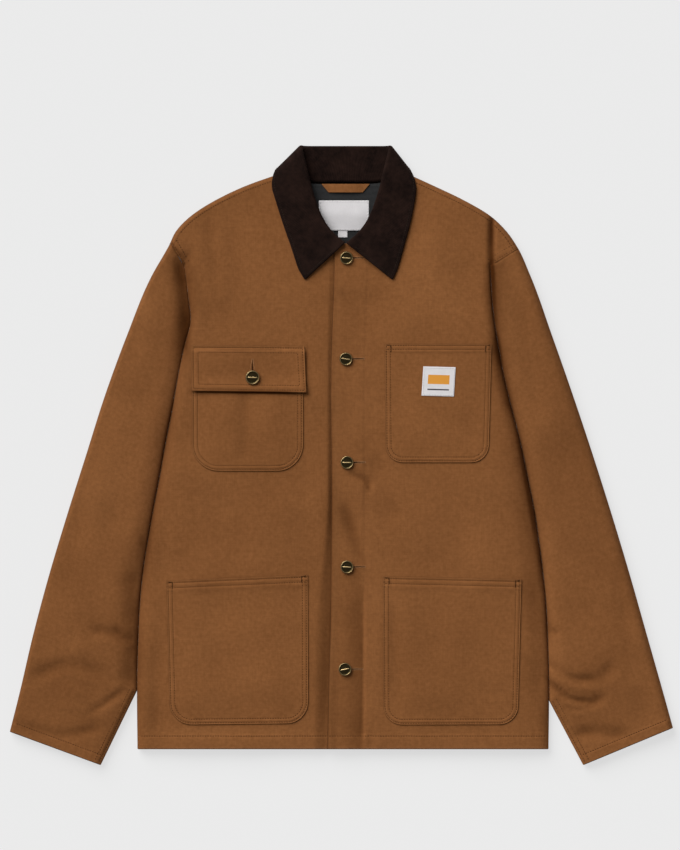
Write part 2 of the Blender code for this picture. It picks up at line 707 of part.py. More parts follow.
def inner_rolled(side, path, part):
    """Rolled share down a sleeve's inner border, level all along its free edge."""
    free = path[:, 1] < CUFF[side]["split"] + 1
    return np.where(free, 1.0, side_rolled(side, path, part))


def straight_cuts(side):
    """Plan directions of the cuff and of the armhole seam's straight part."""
    cuff_inner = sleeve_inner_edge(side)[1]
    cuff_outer = edge_line(OUTLINE, side, CUFF[side]["outer_y"])
    seam = armhole_seam(side, (0, 1))
    return tuple(cuff_outer - cuff_inner), tuple(seam[1] - seam[0])


def build_sleeve(side, cloth):
    """Top sleeve, over the arm and round its outer edge, and the under sleeve below it."""
    name = SIDE_NAMES[side]
    cuff_cut, seam_cut = straight_cuts(side)

    inner_u = roll_steps(SLEEVE_ROLLS[0], 3) / SLEEVE_WIDTH
    outer_u = 1 - roll_steps(SLEEVE_ROLLS[1], 3)[::-1] / SLEEVE_WIDTH
    over_u = np.concatenate([inner_u, np.linspace(inner_u[-1], outer_u[0], 6)[1:-1], outer_u])
    under_u = 1 - np.append(roll_steps(UNDER_ROLL, 2)[1:] / SLEEVE_WIDTH, SLEEVE_WRAP)
    over = sleeve_plan(side, 1, 6, over_u)
    grid = with_height(over, top_height(side, over, "sleeve"))
    rolled = inner_rolled(side, over[:, 0], "top")
    grid[rolled > 0.99, 0, 2] = MIDDLE + SEAM_GAP / 2
    wrap = sleeve_plan(side, 1, 6, under_u)
    wrap = with_height(wrap, bottom_height(side, wrap, "sleeve"))
    grid = np.concatenate([grid, wrap], axis=1)
    edges = dict(first_row=cuff_cut, last_row=seam_cut, first_column=rolled, last_column=0)
    add_wall(f"top_sleeve_{name}", grid, SLEEVE_WALL, cloth, side, edges)

    seam_u = 1 - SLEEVE_WRAP
    roll_u = roll_steps(UNDER_ROLL, 3) / SLEEVE_WIDTH
    u = np.concatenate([roll_u, np.linspace(roll_u[-1], seam_u, 6)[1:]])
    plan = sleeve_plan(side, 2, 3, u)
    plan[:, -1] = moved_aside(plan[:, -1], side * 2 * SEAM_GAP)
    grid = with_height(plan, bottom_height(side, plan, "sleeve"))
    rolled = inner_rolled(side, plan[:, 0], "under")
    grid[rolled > 0.99, 0, 2] = MIDDLE - SEAM_GAP / 2
    edges = dict(first_row=cuff_cut, last_row=seam_cut, first_column=rolled, last_column=0)
    add_wall(f"under_sleeve_{name}", grid, SLEEVE_WALL, cloth, -side, edges)


# ---- collar ---------------------------------------------------------------------------
def neck_path(side, at):
    """Seam line of the collar in plan, just inside the body's neck edge."""
    line = NECKLINE[side]
    share = np.linspace(0, 1, 60)
    front = np.stack([side * line["out"], line["y"]], axis=1)[1:]
    back = np.stack([BACK_NECKLINE["x"], BACK_NECKLINE["y"]], axis=1)
    back = back[:2:-1] if side == LEFT else back[:4]
    front = moved_aside(smooth_path(front, share), side * NECK_GAP)
    back = moved_aside(smooth_path(back, share), -side * NECK_GAP)
    path = np.concatenate([front[:-1], (front[-1:] + back[:1]) / 2, back[1:]])
    return np.stack([np.interp(at, np.linspace(0, 2, len(path)), c) for c in path.T], axis=1)


def collar_half(side, stations):
    """Mid surface of half the collar: a row for each section, from neck seam to edge."""
    rows = np.arange(len(COLLAR["neck"]))
    at = np.linspace(0, rows[-1], stations)
    value = {name: smooth(rows, column, at) for name, column in COLLAR.items()}
    seam = with_height(neck_path(side, value["neck"])[None], value["nz"])[0]
    out = value["e"] - value[SIDE_NAMES[side]]
    fold = np.stack([COLLAR_X + side * value["r"], value["ry"], value["rz"]], axis=1)
    edge = np.stack([COLLAR_X + side * out, value["ey"], value["ez"]], axis=1)
    out = (edge - fold) * (1, 1, 0)
    out /= np.linalg.norm(out, axis=1, keepdims=True)
    beside = side * np.stack([-out[:, 1], out[:, 0], np.zeros(len(out))], axis=1)
    turn = np.radians(value["turn"])[:, None]
    over = np.cos(turn) * beside + np.sin(turn) * (0, 0, 1)
    centre = fold + COLLAR_FOLD * out
    bend = [
        centre - COLLAR_FOLD * (math.cos(angle) * over + math.sin(angle) * out)
        for angle in np.linspace(0, math.pi, 5)
    ]
    stand = [seam, (seam + bend[0]) / 2]
    fall = [bend[-1] * (1 - share) + edge * share for share in (0.25, 0.5, 0.75, 1.0)]
    return np.stack(stand + bend + fall, axis=1)


def build_collar(cloth):
    """One folded piece round the neck: a stand that rises to the roll line, and a fall."""
    right, left = collar_half(RIGHT, COLLAR_STATIONS), collar_half(LEFT, COLLAR_STATIONS)
    middle = np.concatenate([right, left[-2::-1]])
    normals = grid_normals(middle)
    outer, inner = (middle + share * COLLAR_WALL * normals for share in (0.5, -0.5))
    points, faces = closed_shell(outer, inner)
    points[:, 2] = np.maximum(points[:, 2], 0)   # the fall lies flat on the table
    add_solid("collar", points, faces, cloth)


# ---- pieces that lie on others --------------------------------------------------------
def height_on(plan, names, start=60.0):
    """Height of the topmost of these solids at plan points, looking down from start."""
    trees = [BVHTree.FromPolygons(*solids[name]) for name in names]
    heights = np.empty(plan.shape[:-1])
    for index in np.ndindex(heights.shape):
        hits = [tree.ray_cast((*plan[index], start), (0, 0, -1))[0] for tree in trees]
        heights[index] = max(hit.z for hit in hits if hit is not None)
    return heights


def add_patch(name, plan, thickness, material, names, gap=LAY_GAP, start=60.0):
    """A flat piece laid on others: its outer grid is made from their points, moved out."""
    height = height_on(plan, names, start) + gap + thickness
    edges = dict(first_row=0, last_row=0, first_column=0, last_column=0)
    add_wall(name, with_height(plan, height), thickness, material, 1, edges)


def four_sided(shape, across, up, inset=0.0):
    """Plan points at shares across and up a four-sided shape, its sides moved in by inset."""
    across, up = np.meshgrid(across, up)
    ends = [np.interp(up, (0, 1), shape["left"]) + inset, np.interp(up, (0, 1), shape["right"]) - inset]
    low, high = (np.interp(across, (0, 1), shape[name]) for name in ("bottom", "top"))
    return np.stack([ends[0] * (1 - across) + ends[1] * across, low * (1 - up) + high * up], axis=-1)


def rectangle(left, right, bottom, top, columns, rows):
    x, y = np.meshgrid(np.linspace(left, right, columns + 1), np.linspace(bottom, top, rows + 1))
    return np.stack([x, y], axis=-1)


def pocket_plan(patch, columns=8, corner_rows=3, rows=6):
    """Plan grid of a patch pocket; each row ends on the side edge or on a round corner."""
    tall = patch["top"][0] - patch["bottom"][0]
    low = roll_steps(patch["corner"], corner_rows) / tall
    up = np.concatenate([low[:-1], np.linspace(low[-1], 1, rows + 1)])
    inset = (1 - roll(up * tall, patch["corner"]))[:, None] * patch["corner"]
    return four_sided(patch, np.linspace(0, 1, columns + 1), up, inset)


def build_pockets(cloth, patch_cloth):
    for name, patch in PATCHES.items():
        front = f"front_{SIDE_NAMES[patch['side']]}"
        add_patch(name, pocket_plan(patch), PATCH_WALL, cloth, [front])
    flap = four_sided(FLAP, np.linspace(0, 1, 9), np.linspace(0, 1, 6))
    flap[-2, :, 1] = PATCHES["chest_pocket_right"]["top"][0] + FLAP_STEP
    height = height_on(flap, ["front_right"]) + 2 * PATCH_WALL + 2 * LAY_GAP
    height[-1] -= PATCH_WALL + LAY_GAP
    edges = dict(first_row=0, last_row=0, first_column=0, last_column=0)
    add_wall("pocket_flap", with_height(flap, height), PATCH_WALL, cloth, 1, edges)
    half_width, half_height = CHEST_PATCH["width"] / 2, CHEST_PATCH["height"] / 2
    square = rectangle(-half_width, half_width, -half_height, half_height, 3, 3)
    tilt = math.radians(CHEST_PATCH["tilt"])
    turn = np.array([(math.cos(tilt), math.sin(tilt)), (-math.sin(tilt), math.cos(tilt))])
    square = square @ turn + CHEST_PATCH["centre"]
    add_patch("chest_patch", square, LABEL_WALL, patch_cloth, ["chest_pocket_left"])


def build_neck(lining, label, canvas):
    """What shows inside the neck: lining on the back, hanger loop, label and size tab."""
    sheet = rectangle(*LINING.values(), 8, 9)
    add_patch("neck_lining", sheet, LINING_WALL, lining, ["back"], LINING_GAP, UNDER_FRONTS)
    loop = rectangle(-1, 1, HANGER_LOOP["low"], HANGER_LOOP["high"], 6, 1)
    half_widths = np.array([[HANGER_LOOP["low_half"]], [HANGER_LOOP["high_half"]]])
    loop[..., 0] = COLLAR_X + half_widths * loop[..., 0]
    on_lining = ["neck_lining"]
    add_patch("hanger_loop", loop, LABEL_WALL, canvas, on_lining, LOOP_GAP, UNDER_FRONTS)
    for name, place, cells in (("neck_label", NECK_LABEL, 4), ("size_tab", SIZE_TAB, 1)):
        plan = rectangle(*place.values(), cells, cells)
        add_patch(name, plan, LABEL_WALL, label, on_lining, LABEL_GAP, UNDER_FRONTS)


def build_buttons(metal):
    """Shank buttons: one profile turned round, with a raised rim round a dished face."""
    sides = BUTTON_SIDES
    angles = 2 * math.pi * np.arange(sides) / sides
    around = np.stack([np.cos(angles), np.sin(angles)], axis=1)
    profile = np.stack([BUTTON_PROFILE["radius"], BUTTON_PROFILE["height"]], axis=1)
    rings = [with_height((radius * around)[None], height)[0] for radius, height in profile[1:-1]]
    points = np.concatenate([*rings, [(0, 0, profile[0, 1]), (0, 0, profile[-1, 1])]])
    index = np.arange(sides)
    after = (index + 1) % sides
    faces = []
    for ring in range(len(rings) - 1):
        low, high = ring * sides, (ring + 1) * sides
        faces += np.stack([low + index, low + after, high + after, high + index], 1).tolist()
    foot, crown = len(points) - 2, len(points) - 1
    top = (len(rings) - 1) * sides
    faces += [(foot, int(after[i]), int(i)) for i in index]
    faces += [(crown, int(top + i), int(top + after[i])) for i in index]
    for name, place in BUTTONS.items():
        carrier = "pocket_flap" if name == "flap_button" else "front_left"
        rim = np.array(place) + BUTTON_RADIUS * around
        base = height_on(rim, [carrier]).max() + LAY_GAP
        add_solid(name, points + (*place, base), faces, metal)


def main():
    for obj in list(bpy.data.objects):
        bpy.data.objects.remove(obj)
    canvas = new_material("duck_canvas", (0.224, 0.089, 0.028), 0.85)
    corduroy = new_material("corduroy", (0.014, 0.008, 0.005), 0.9)
    lining = new_material("lining", (0.03, 0.035, 0.04), 0.9)
    label = new_material("label", (0.75, 0.73, 0.72), 0.7)
    brass = new_material("aged_brass", (0.25, 0.17, 0.09), 0.4, metallic=1.0)
    for side in (RIGHT, LEFT):
        build_front(side, canvas)
        build_sleeve(side, canvas)
    build_back(canvas)
    build_collar(corduroy)
    build_pockets(canvas, label)
    build_neck(lining, label, canvas)
    build_buttons(brass)


main()
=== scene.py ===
"""Chore jacket laid flat: canvas panels with their folds, corduroy collar, sewing and buttons.

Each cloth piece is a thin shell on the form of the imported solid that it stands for, on a finer
grid and with the smaller creases. X runs across the jacket (+X is the wearer's left), Y from
hem to collar and Z up off the table. Sizes are millimetres; MM turns a finished shape into
metres.
"""

import math
from functools import partial

import bpy
import numpy as np
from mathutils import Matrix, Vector


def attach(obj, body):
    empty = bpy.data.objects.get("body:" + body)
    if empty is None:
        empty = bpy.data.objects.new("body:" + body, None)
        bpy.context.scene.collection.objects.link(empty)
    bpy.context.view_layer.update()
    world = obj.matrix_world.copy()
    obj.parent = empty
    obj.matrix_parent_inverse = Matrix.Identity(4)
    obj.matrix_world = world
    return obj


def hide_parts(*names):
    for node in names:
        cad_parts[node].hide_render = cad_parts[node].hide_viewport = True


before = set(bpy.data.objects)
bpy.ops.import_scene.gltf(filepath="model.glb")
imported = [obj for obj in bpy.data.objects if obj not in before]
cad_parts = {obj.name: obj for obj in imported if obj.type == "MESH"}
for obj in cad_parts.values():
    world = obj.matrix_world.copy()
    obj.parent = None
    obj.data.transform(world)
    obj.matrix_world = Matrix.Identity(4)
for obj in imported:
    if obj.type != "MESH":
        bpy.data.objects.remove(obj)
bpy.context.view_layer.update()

MM = 0.001

# ---- driving sizes, as in the part ----
BODY_WALL = 2.2
SLEEVE_WALL = 2.0
PATCH_WALL = 1.0
COLLAR_WALL = 2.6
LINING_WALL = 1.0
LABEL_WALL = 0.6
SEAM_GAP = 0.01       # between two pieces at a seam
LAY_GAP = 0.25        # under a piece that lies on another
MIDDLE = 6.0          # height of the side seams
ABOVE_SEAM, BELOW_SEAM = MIDDLE + SEAM_GAP / 2, MIDDLE - SEAM_GAP / 2
REST = 0.3            # the canvas clears the table by the thickness of its sewing
UNDER_ROLL = 8.0
HEM_Y = -382.0
UNDERLAP_X = 24.0
SEAM_END_Y = 246.0
NECK_POINT_Y = 367.0
NECK_RISE = 3.5
NECK_RISE_Y = (285.0, 315.0)
NECK_RISE_SIDE = (100.0, 135.0)
NECK_SHARE = 0.42
SLEEVE_WIDTH = 190.0
SLEEVE_WRAP = 0.13
FREE_EDGE_ROLLS = (28.0, 18.0)
FREE_EDGE_REACH = 30.0
COLLAR_X = 6.0
NECK_GAP = 2.1
COLLAR_FOLD = 2.1
RIGHT, LEFT = -1, 1
SIDE_NAMES = {RIGHT: "right", LEFT: "left"}
TIP_Y = {RIGHT: 276.0, LEFT: 268.0}   # shoulder tips

# ---- sizes of the finer work ----
CELL = 3.6                # spacing of the panels' grids
FINE_EDGE = (0.8, 1.6, 2.4, 3.6, 5.2, 6.8, 8.0, 9.2, 10.4, 12.0, 14.0, 15.2, 16.0, 16.8, 18.4)
WIDE_CELL = 4.2           # the same where little is seen
THREAD = 0.50             # half the thread's width
BAR_THREAD = 0.34         # the same in bar tacks and buttonholes
BAR_PITCH = 0.55
STITCH = 2.7              # length of one stitch
STITCH_PITCH = 3.3
GROOVE = 0.6              # how deep a row of stitches pulls the cloth in
GROOVE_WIDTH = 1.1
PUCKER = 0.16             # height of the small waves beside a row
PUCKER_LENGTH = 8.5
PUCKER_WIDTH = 4.0
PLY_STEP = (-0.6, 1.4)    # where the doubled cloth ends, to each side of its last row
YARN = 0.00055            # metres from one yarn of the canvas to the next
LABEL_YARN = 0.00032
WALE = 0.0016             # metres from one rib of the corduroy to the next
LINING_STRIPE = 0.009     # metres from one stripe of the lining to the next
# Further columns of the fronts' grids, counted in from the opening edge and from the side.
EDGE_COLUMNS = {
    RIGHT: (*np.arange(32.0, 66.0, 2.0), *np.arange(66.0, 74.0, 0.9)),
    LEFT: (*np.arange(4.6, 36, 2.4), 36.0, 38.5, 40.0, 41.5, 43.0, 44.5, 46.0, 47.5, 49.0),
}
SIDE_COLUMNS = {RIGHT: (), LEFT: np.arange(16.0, 56.0, 1.3)}
SLEEVE_ROWS = np.arange(1.8, 108, 1.8)    # further rows of the sleeves' grids, up from the split
SLEEVE_FINE = (24.0, 30.0)                # how far in their columns are finer
ROLLED = 0.99             # share from which an edge counts as fully rolled
# how far in from an edge it is lighter, as worn cloth and painted highlight
WEAR_AND_HIGHLIGHT_WIDTH = 1.6


def table(text):
    """One array of numbers for each column; the first line names them."""
    names, *rows = (line.split() for line in text.strip().splitlines())
    return dict(zip(names, np.array(rows, float).T))


# Fold between the body and a sleeve, then the free side edge below the sleeve. 'trough' is
# how far the upper layer sinks there, 'under' how far the lower one curls up to meet it, and
# 'body' and 'sleeve' how wide each rounds over.
SIDE = table("""
    y    right left  trough under body sleeve
    -382 264.6 269.8 1      1     14   16
    -307 265.2 270.4 1      1     18   24
    -240 263.9 268.6 1      1     20   28
    -188 261.3 266   1      1     20   28
    -150 257.4 262   1      1     18   28
    -110 251   256.9 1      1     17   28
    -72  244.4 251.3 1      1     16   28
    -32  236.6 243.1 1      1     16   28
    19   227.5 232.5 0.9    0.6   15   28
    58   219.7 222.5 0.8    0.1   15   28
    103  211.9 211.5 0.74   0     14   28
    142  203.6 204.5 0.72   0     13   28
    172  195.8 199.5 0.7    0     12   27
    205  198.6 196   0.62   0     12   24
    246  204   194   0.4    0     12   18
""")

# Outer edge seen from above: the outside of the sleeve, then the shoulder line. The rolls are
# how wide each side rounds over there.
OUTLINE = table("""
    y     right left  roll_right roll_left
    -364  431.5 434   5          8
    -313  418.6 419.9 5          10
    -235  400.4 397.8 5          13
    -157  379.6 375.7 5          14
    -79   356.2 352.3 5          14
    -1    331.5 327.6 5          14
    77    306.8 301.6 5          14
    155   278.2 274.3 5          14
    233   245.7 246   5          12
    271   224   228.5 5          9
    292   213.3 213.5 5          7
    311.4 193.5 192.5 5          6
    331   162.5 159   5          6
    350.4 121   118.3 5          6
    367   74    82    5          6
""")

# How high the upper layer stands.
LOFT = table("""
    y    body sleeve
    -404 13.5 12
    -382 14   12.5
    -320 16   15
    -240 17   18
    -100 17.5 19
    100  17.5 19
    200  17   18
    246  16.5 16.5
    271  16   16
    311  15.2 15.2
    368  14.2 14.2
""")

CUFF = {
    RIGHT: dict(split=-307.0, outer_y=-359.5, inner=(312.0, -403.0)),
    LEFT: dict(split=-320.0, outer_y=-354.5, inner=(314.5, -403.0)),
}

FRONT_EDGE = table("""
    x     y
    -16.9 -382
    -15   -300
    -13   -220
    -11.7 -60
    -11.7 128
    -8    244
    -8    275
""")

# How far the right front sinks to pass under the left one, over how long a run, and how much
# longer the run is below.
UNDERLAP_SINK = table("""
    y    sink
    -382 4.6
    -150 4
    30   2.6
    275  2.3
""")
UNDERLAP_SPAN = 6.0
UNDERLAP_LONGER = 14.0
UNDERLAP_TURN = (-240, -50)
# How far the opening edge stands off, all along and more low down.
EDGE_LIFT = dict(all=0.3, low=0.9, turn=(-40, 60), width=7.0)
# the opening edge's lightening, worn cloth and painted highlight, fades upwards here
EDGE_RUB_AND_HIGHLIGHT_FADE = (-300, -120)  # its wear fades upwards here

# Neck edges; those of the fronts count x outwards from the middle.
NECKLINE = {
    RIGHT: table("""
        x   y
        -24 275
        -4  274.5
        14  277
        34  292
        50  314
        62  341
        74  367
    """),
    LEFT: table("""
        x  y
        -8 275
        8  274
        26 277
        46 292
        62 314
        74 341
        82 367
    """),
}
BACK_NECKLINE = table("""
    x   y
    -74 367
    -66 359
    -48 354
    4   352
    56  354
    74  359
    82  367
""")

# Collar sections from a front end (first row) to the middle of the back (last row).
COLLAR = table("""
    neck nz   r   ry    rz   e    ey    ez   turn right left
    0    17.9 2.5 275   20   60.7 228.7 18.9 90   8     0
    0.08 16.2 8   280   18.6 65   236   18.9 90   8     1
    0.17 14.6 15  286   17.2 69.5 245   18.8 90   8     2
    0.36 14.2 27  301   16.8 78   271   18.5 90   8     3
    0.57 14   37  322   16.6 86   301   18.1 90   5.5   3
    0.76 13.4 45  347   16.4 92   331   17.6 90   2     3
    0.88 12.4 51  372   15.8 94   347   17.2 85   -0.5  3.5
    0.95 10.2 56  392   13.6 92   359.5 14.2 55   -2    4
    1    7.2  57  399.4 9.8  88.5 368.5 9    0    -2.5  4.5
    1.05 5.8  54  399.8 6.6  88   369   4.8  -45  -2.5  4.5
    1.11 5.2  50  399.8 4.9  86.5 367.5 1.6  -72  -2    4
    1.25 4.8  42  399.8 3.8  77   350   1.4  -87  -1    2
    1.6  4.7  22  399.8 3.4  42   328   1.4  -90  0     0
    2    4.7  0   399.8 3.4  0    323   1.4  -90  0     0
""")
COLLAR_STATIONS = 90
STAND_POINTS = 11         # points across the stand and round the bend
BEND_POINTS = 11
FALL_SHARES = (*np.linspace(0, 0.9, 25)[1:], 0.92, 0.94, 0.96, 0.98, 1.0)
FALL_FULLNESS = 0.7

# Creases of the upper layer. Each runs from (x0, y0) through (x1, y1) to (x2, y2); 'rise' is
# its height, below zero for a trough, 'left' and 'right' its half width on each side of its
# run, and 'lean' how much further it rises on the left and falls on the right.
BODY_FOLDS = table("""
    x0 y0 x1 y1 x2 y2 left right rise lean
    28 -170 28.5 -280 28 -396 2.6 18 -1.9 0
    46 -120 48 -250 46 -372 13 13 0.9 0
    3 -60 14 -100 26 -135 8 8 -2.4 0
    42 2 55 -50 76 -90 16 16 -1.6 0.2
    11.7 -24 37.7 -39.7 35 -50 4.5 4.5 -2.4 0.4
    -1 217 15 193 30 170 8 8 -1.1 0
    -31 200 -31 40 -32 -120 14 14 0.5 0
    -40 -20 -52 -80 -80 -140 26 26 -0.8 0
    -92 -33 -130 -120 -170 -215 30 30 -1 0.3
    -234 -240 -238 -310 -234 -375 13 13 -1.7 0.5
    -222 -30 -232 -110 -240 -200 16 16 -0.9 0.4
    254 -160 257 -250 258 -330 9 12 -2.4 0
    236 -40 244 -150 246 -240 12 12 -1.1 -0.4
    -172 322 -163 250 -160 170 9 12 -1.3 0.3
    -142 300 -140 230 -150 165 14 14 -1.1 0
    -190 262 -180 215 -164 165 10 10 -0.9 0.4
    42 215 30 180 18 150 18 18 -0.8 0
    150 250 160 215 172 185 20 20 -1 0
    195 317 195.5 280 195 238 3.5 4.8 -4.4 -0.8
    -196 266 -200 240 -198 215 9 9 -2.2 0.8
    34 -74 36 -110 44 -150 9 9 0.7 0
    30 -362 29 -372 28 -384 3.5 3.5 0.9 0
    39 -362 40 -372 40 -384 3 3 -0.8 0
    50 -364 51 -374 50 -384 3.5 3.5 0.7 0
    -8 -362 -7 -372 -8 -384 4 4 -0.6 0
    90 240 96 190 88 150 22 22 0.6 0
    -84 250 -76 200 -84 150 20 20 0.6 0
    112 20 108 -60 120 -150 30 30 -0.7 0
    176 -20 184 -90 190 -156 22 22 0.7 0
    -120 -24 -108 -90 -112 -156 22 22 0.7 0
    -200 70 -208 20 -214 -40 12 12 0.8 0
""")
SLEEVE_FOLDS = table("""
    x0 y0 x1 y1 x2 y2 left right rise lean
    258 -258 298 -289 330 -292 5 5 -2.3 0.5
    316 -293 340 -287 354 -268 10 9 -2 0.4
    254 -280 296 -316 324 -320 3.2 4 -3.2 1.2
    258 -279 274 -293 292 -311 2.4 2.6 -1.8 0.8
    308 -321 326 -322 344 -312 8 7 -2.4 0.6
    262 -270 296 -302 330 -305 5 5 1.4 0
    266 -300 288 -326 306 -336 2.6 2.6 -1 0.2
    284 -314 306 -331 324 -331 2.6 2.6 -0.9 0.2
    300 -362 335 -361 372 -365 9 8 -2.7 0.5
    262 -218 275 -229 286 -233 5 5 -2 0.5
    262 40 285 -60 318 -170 24 24 -1.4 0
    232 215 246 130 262 40 16 16 -1.1 0.3
    390 -300 330 -60 250 200 24 24 -1.8 0
    300 -120 312 -190 318 -250 18 18 1.2 0
    362 -140 366 -190 374 -230 10 10 -1 0
    380 -300 392 -330 398 -356 13 13 -1 0
    210 252 218 234 226 214 9 9 -1.1 0.3
    -322 -228 -300 -231 -280 -230 8 7 -2.2 0.4
    -294 -238 -269 -244 -270 -262 7 6.5 -2.4 0.5
    -406 -289 -343 -272 -302 -289 10 10 -2.4 0.4
    -264 -245 -268 -280 -274 -306 12 16 -3.6 0
    -276 -303 -300 -321 -326 -338 4 6 -2.2 0.3
    -421 -350 -368 -364 -311 -355 8 8 -2 0.4
    -334 -338 -322 -350 -318 -366 8 8 -1 0
    -340 -300 -350 -318 -352 -336 18 18 1.2 0
    -308 -246 -330 -252 -352 -250 12 12 1 0
    -258 -105 -255 -118 -250 -132 5 5 -2.4 0.6
    -272 -150 -270 -185 -264 -222 12 14 -2.6 0
    -262 60 -280 -20 -306 -120 22 22 -1.4 0
    -232 215 -240 130 -258 50 18 18 -1.3 -0.3
    -212 262 -205 225 -200 150 6.5 9.5 -4.6 0
    -336 -40 -350 -130 -366 -220 22 22 -1 0
    -300 20 -318 -60 -334 -140 16 16 0.8 0
""")
# Painted shade along the same kind of runs: darker (above zero) in folds and troughs, beside
# seams and edges and under the flap's lower edge, as painted shadow, and broad paler (below
# zero) and darker patches, as painted light and shade.
PAINTED_SHADES = table("""
    x0 y0 x1 y1 x2 y2 left right rise lean
    -10 250 -12 110 -13 -10 3 5 0.1 0
    -12 -10 -15 -170 -25 -400 4 10 0.22 0
    -11.9 60 -12 -60 -13.4 -230 1 1.7 0.34 0
    -13.2 -200 -15.2 -300 -17.1 -410 1 1.7 0.3 0
    -198 81.8 -120 81 -42 79.8 2.2 1.9 0.95 0
    -44 144 -45.3 112 -46.6 76 1.3 1.3 0.35 0
    -209 258 -203 190 -206 112 8 14 0.46 0
    -196 250 -197 190 -202 135 9 3 0.2 0
    -211 112 -236 -25 -264 -205 11 3 0.26 0
    -211 112 -236 -25 -264 -205 4 2 0.2 0
    -266 -190 -266 -300 -266 -400 10 3 0.27 0
    195.5 319 196 270 196 216 3 2.8 0.5 0
    -227 280 -216 269 -205 256 1.8 1.8 0.3 0
    196 262 198 205 208 104 12 10 0.36 0
    202 158 210 98 224 45 3 8 0.34 0
    262 -286 277 -298 297 -313 2.2 2.2 0.26 0
    195.5 262 198 200 206 118 3.5 3 0.48 0
    202 150 229 26 259 -140 4.5 3 0.4 0
    206 132 229 26 260 -150 11 20 0.19 0
    256 -115 264 -180 271 -246 4 4 0.28 0
    226 30 246 -70 262 -200 8 34 0.1 0
    24 -130 25 -260 24.5 -410 3.5 22 0.12 0
    27 -220 27.5 -310 27 -400 1.8 13 0.12 0
    -9 -280 -10 -340 -10 -400 8 5 0.09 0
    4 -66 15 -98 26 -140 7 7 0.17 0
    12 -22 30 -34 38 -50 3 3 0.16 0
    44 -40 45 -200 44 -370 9 9 -0.04 0
    80 290 120 240 150 170 50 50 -0.05 0
    80 110 125 60 170 10 45 45 -0.06 0
    -190 112 -115 112 -45 112 22 26 0.06 0
    -180 40 -115 25 -55 40 36 36 0.05 0
    90 -190 130 -260 150 -340 60 60 0.04 0
    -390 -280 -345 -325 -300 -375 60 60 0.1 0
    -332 -214 -302 -226 -268 -236 14 14 0.1 0
    -250 -90 -274 -180 -270 -268 7 24 0.13 0
    -264 218 -252 175 -264 118 16 16 -0.13 0
    -300 90 -290 0 -302 -76 28 28 -0.1 0
    -232 -360 -130 -363 -48 -360 16 16 -0.12 0
    -200 -190 -130 -260 -84 -310 60 60 -0.04 0
    66 252 120 212 172 176 46 46 -0.04 0
    300 -270 345 -320 390 -350 60 60 0.06 0
    -250 60 -290 0 -320 -90 40 40 -0.04 0
    230 200 260 100 285 10 30 30 -0.04 0
""")
# Painted shade: creases darker by their depth, and each side's outline, where the cloth rolls under,
# darker out to about a width in, more on the right side.
PAINTED_CREASE_SHADE = 0.05       # how much deeper each millimetre of a crease looks
OUTLINE_PAINTED_SHADE = {RIGHT: 0.30, LEFT: 0.18}
OUTLINE_PAINTED_SHADE_WIDTH = 4.0
SHADE_KNEE = 0.45
SHADE_MORE = 0.3

# Where the cloth of the lower layer lifts off the table.
BACK_FOLDS = table("""
    x0 y0 x1 y1 x2 y2 left right rise lean
    -150 -330 -140 -200 -160 -60 20 20 1.6 0
    60 -376 70 -260 58 -140 16 16 1.4 0
    170 -300 160 -180 176 -40 22 22 1.5 0
    -60 -80 -30 0 -44 110 24 24 1.2 0
    150 60 110 130 120 220 20 20 1.4 0
    -150 90 -130 160 -150 240 18 18 1.3 0
    -300 -210 -330 -230 -370 -226 10 10 1.4 0
    -290 -250 -330 -280 -372 -278 9 9 1.2 0
    300 -216 330 -240 366 -232 10 10 1.4 0
    292 -262 330 -290 376 -286 9 9 1.2 0
    256 100 270 20 290 -60 16 16 1.2 0
    -250 100 -266 20 -288 -70 16 16 1.2 0
""")
POCKET_FOLDS = table("""
    x0 y0 x1 y1 x2 y2 left right rise lean
    -126 88 -124 40 -128 -14 9 9 -1.3 0
    -100 76 -92 50 -98 20 12 12 0.4 0
    -180 -40 -170 -200 -150 -330 18 18 -0.6 0
    -110 -190 -96 -250 -104 -320 22 22 0.6 0
    -200 -172 -190 -178 -170 -180 6 6 -0.5 0
    68 -186 70 -240 76 -318 9 9 -0.8 0.3
    184 -308 200 -311 216 -309 6 6 -0.6 0
    140 -200 150 -260 140 -320 24 24 0.6 0
    96 -330 130 -334 170 -330 12 12 -0.5 0
    84 120 80 70 86 20 12 12 -0.4 0
    160 60 168 30 164 6 12 12 -0.5 0
""")

PATCHES = {
    "chest_pocket_right": dict(
        side=RIGHT, left=(-193.0, -193.7), right=(-49.6, -49.6), bottom=(-21.0, -21.0),
        top=(136.0, 136.0), corner=34.0, hem_rows=(1.6, 6.5), hem=10.0),
    "chest_pocket_left": dict(
        side=LEFT, left=(58.5, 57.5), right=(191.4, 195.6), bottom=(-10.0, -10.0),
        top=(143.4, 143.2), corner=22.0, hem_rows=(1.6, 6.5), hem=10.0),
    "lower_pocket_right": dict(
        side=RIGHT, left=(-222.0, -226.6), right=(-42.8, -43.6), bottom=(-350.8, -349.4),
        top=(-164.6, -156.8), corner=28.0, hem_rows=(2.4, 8.8), hem=14.0),
    "lower_pocket_left": dict(
        side=LEFT, left=(55.6, 55.1), right=(229.5, 234.4), bottom=(-351.0, -350.6),
        top=(-158.8, -162.8), corner=24.0, hem_rows=(2.4, 8.8), hem=14.0),
}
POCKET_ROWS = (1.6, 6.6)      # stitch rows in from a pocket's edge
POCKET_FULLNESS = 1.1         # how far a pocket stands up in its middle
FLAP = dict(left=(-193.8, -194.5), right=(-45.3, -47.8), bottom=(83.0, 81.0), top=(141.8, 140.6))
FLAP_ROWS = (2.4, 8.6)
FLAP_LIFT = 2.4               # how far the flap's lower edge stands off
FLAP_BEND = 22.0              # how far up it bends to that
FLAP_GAP = 0.5                # more room over the pocket
FLAP_DENT = dict(x=-115.0, y=108.0, wide=16.0, tall=12.0, depth=0.7)
CHEST_PATCH = dict(centre=(126.9, 95.0), width=41.6, height=37.6, tilt=-1.5, lean=0.035)
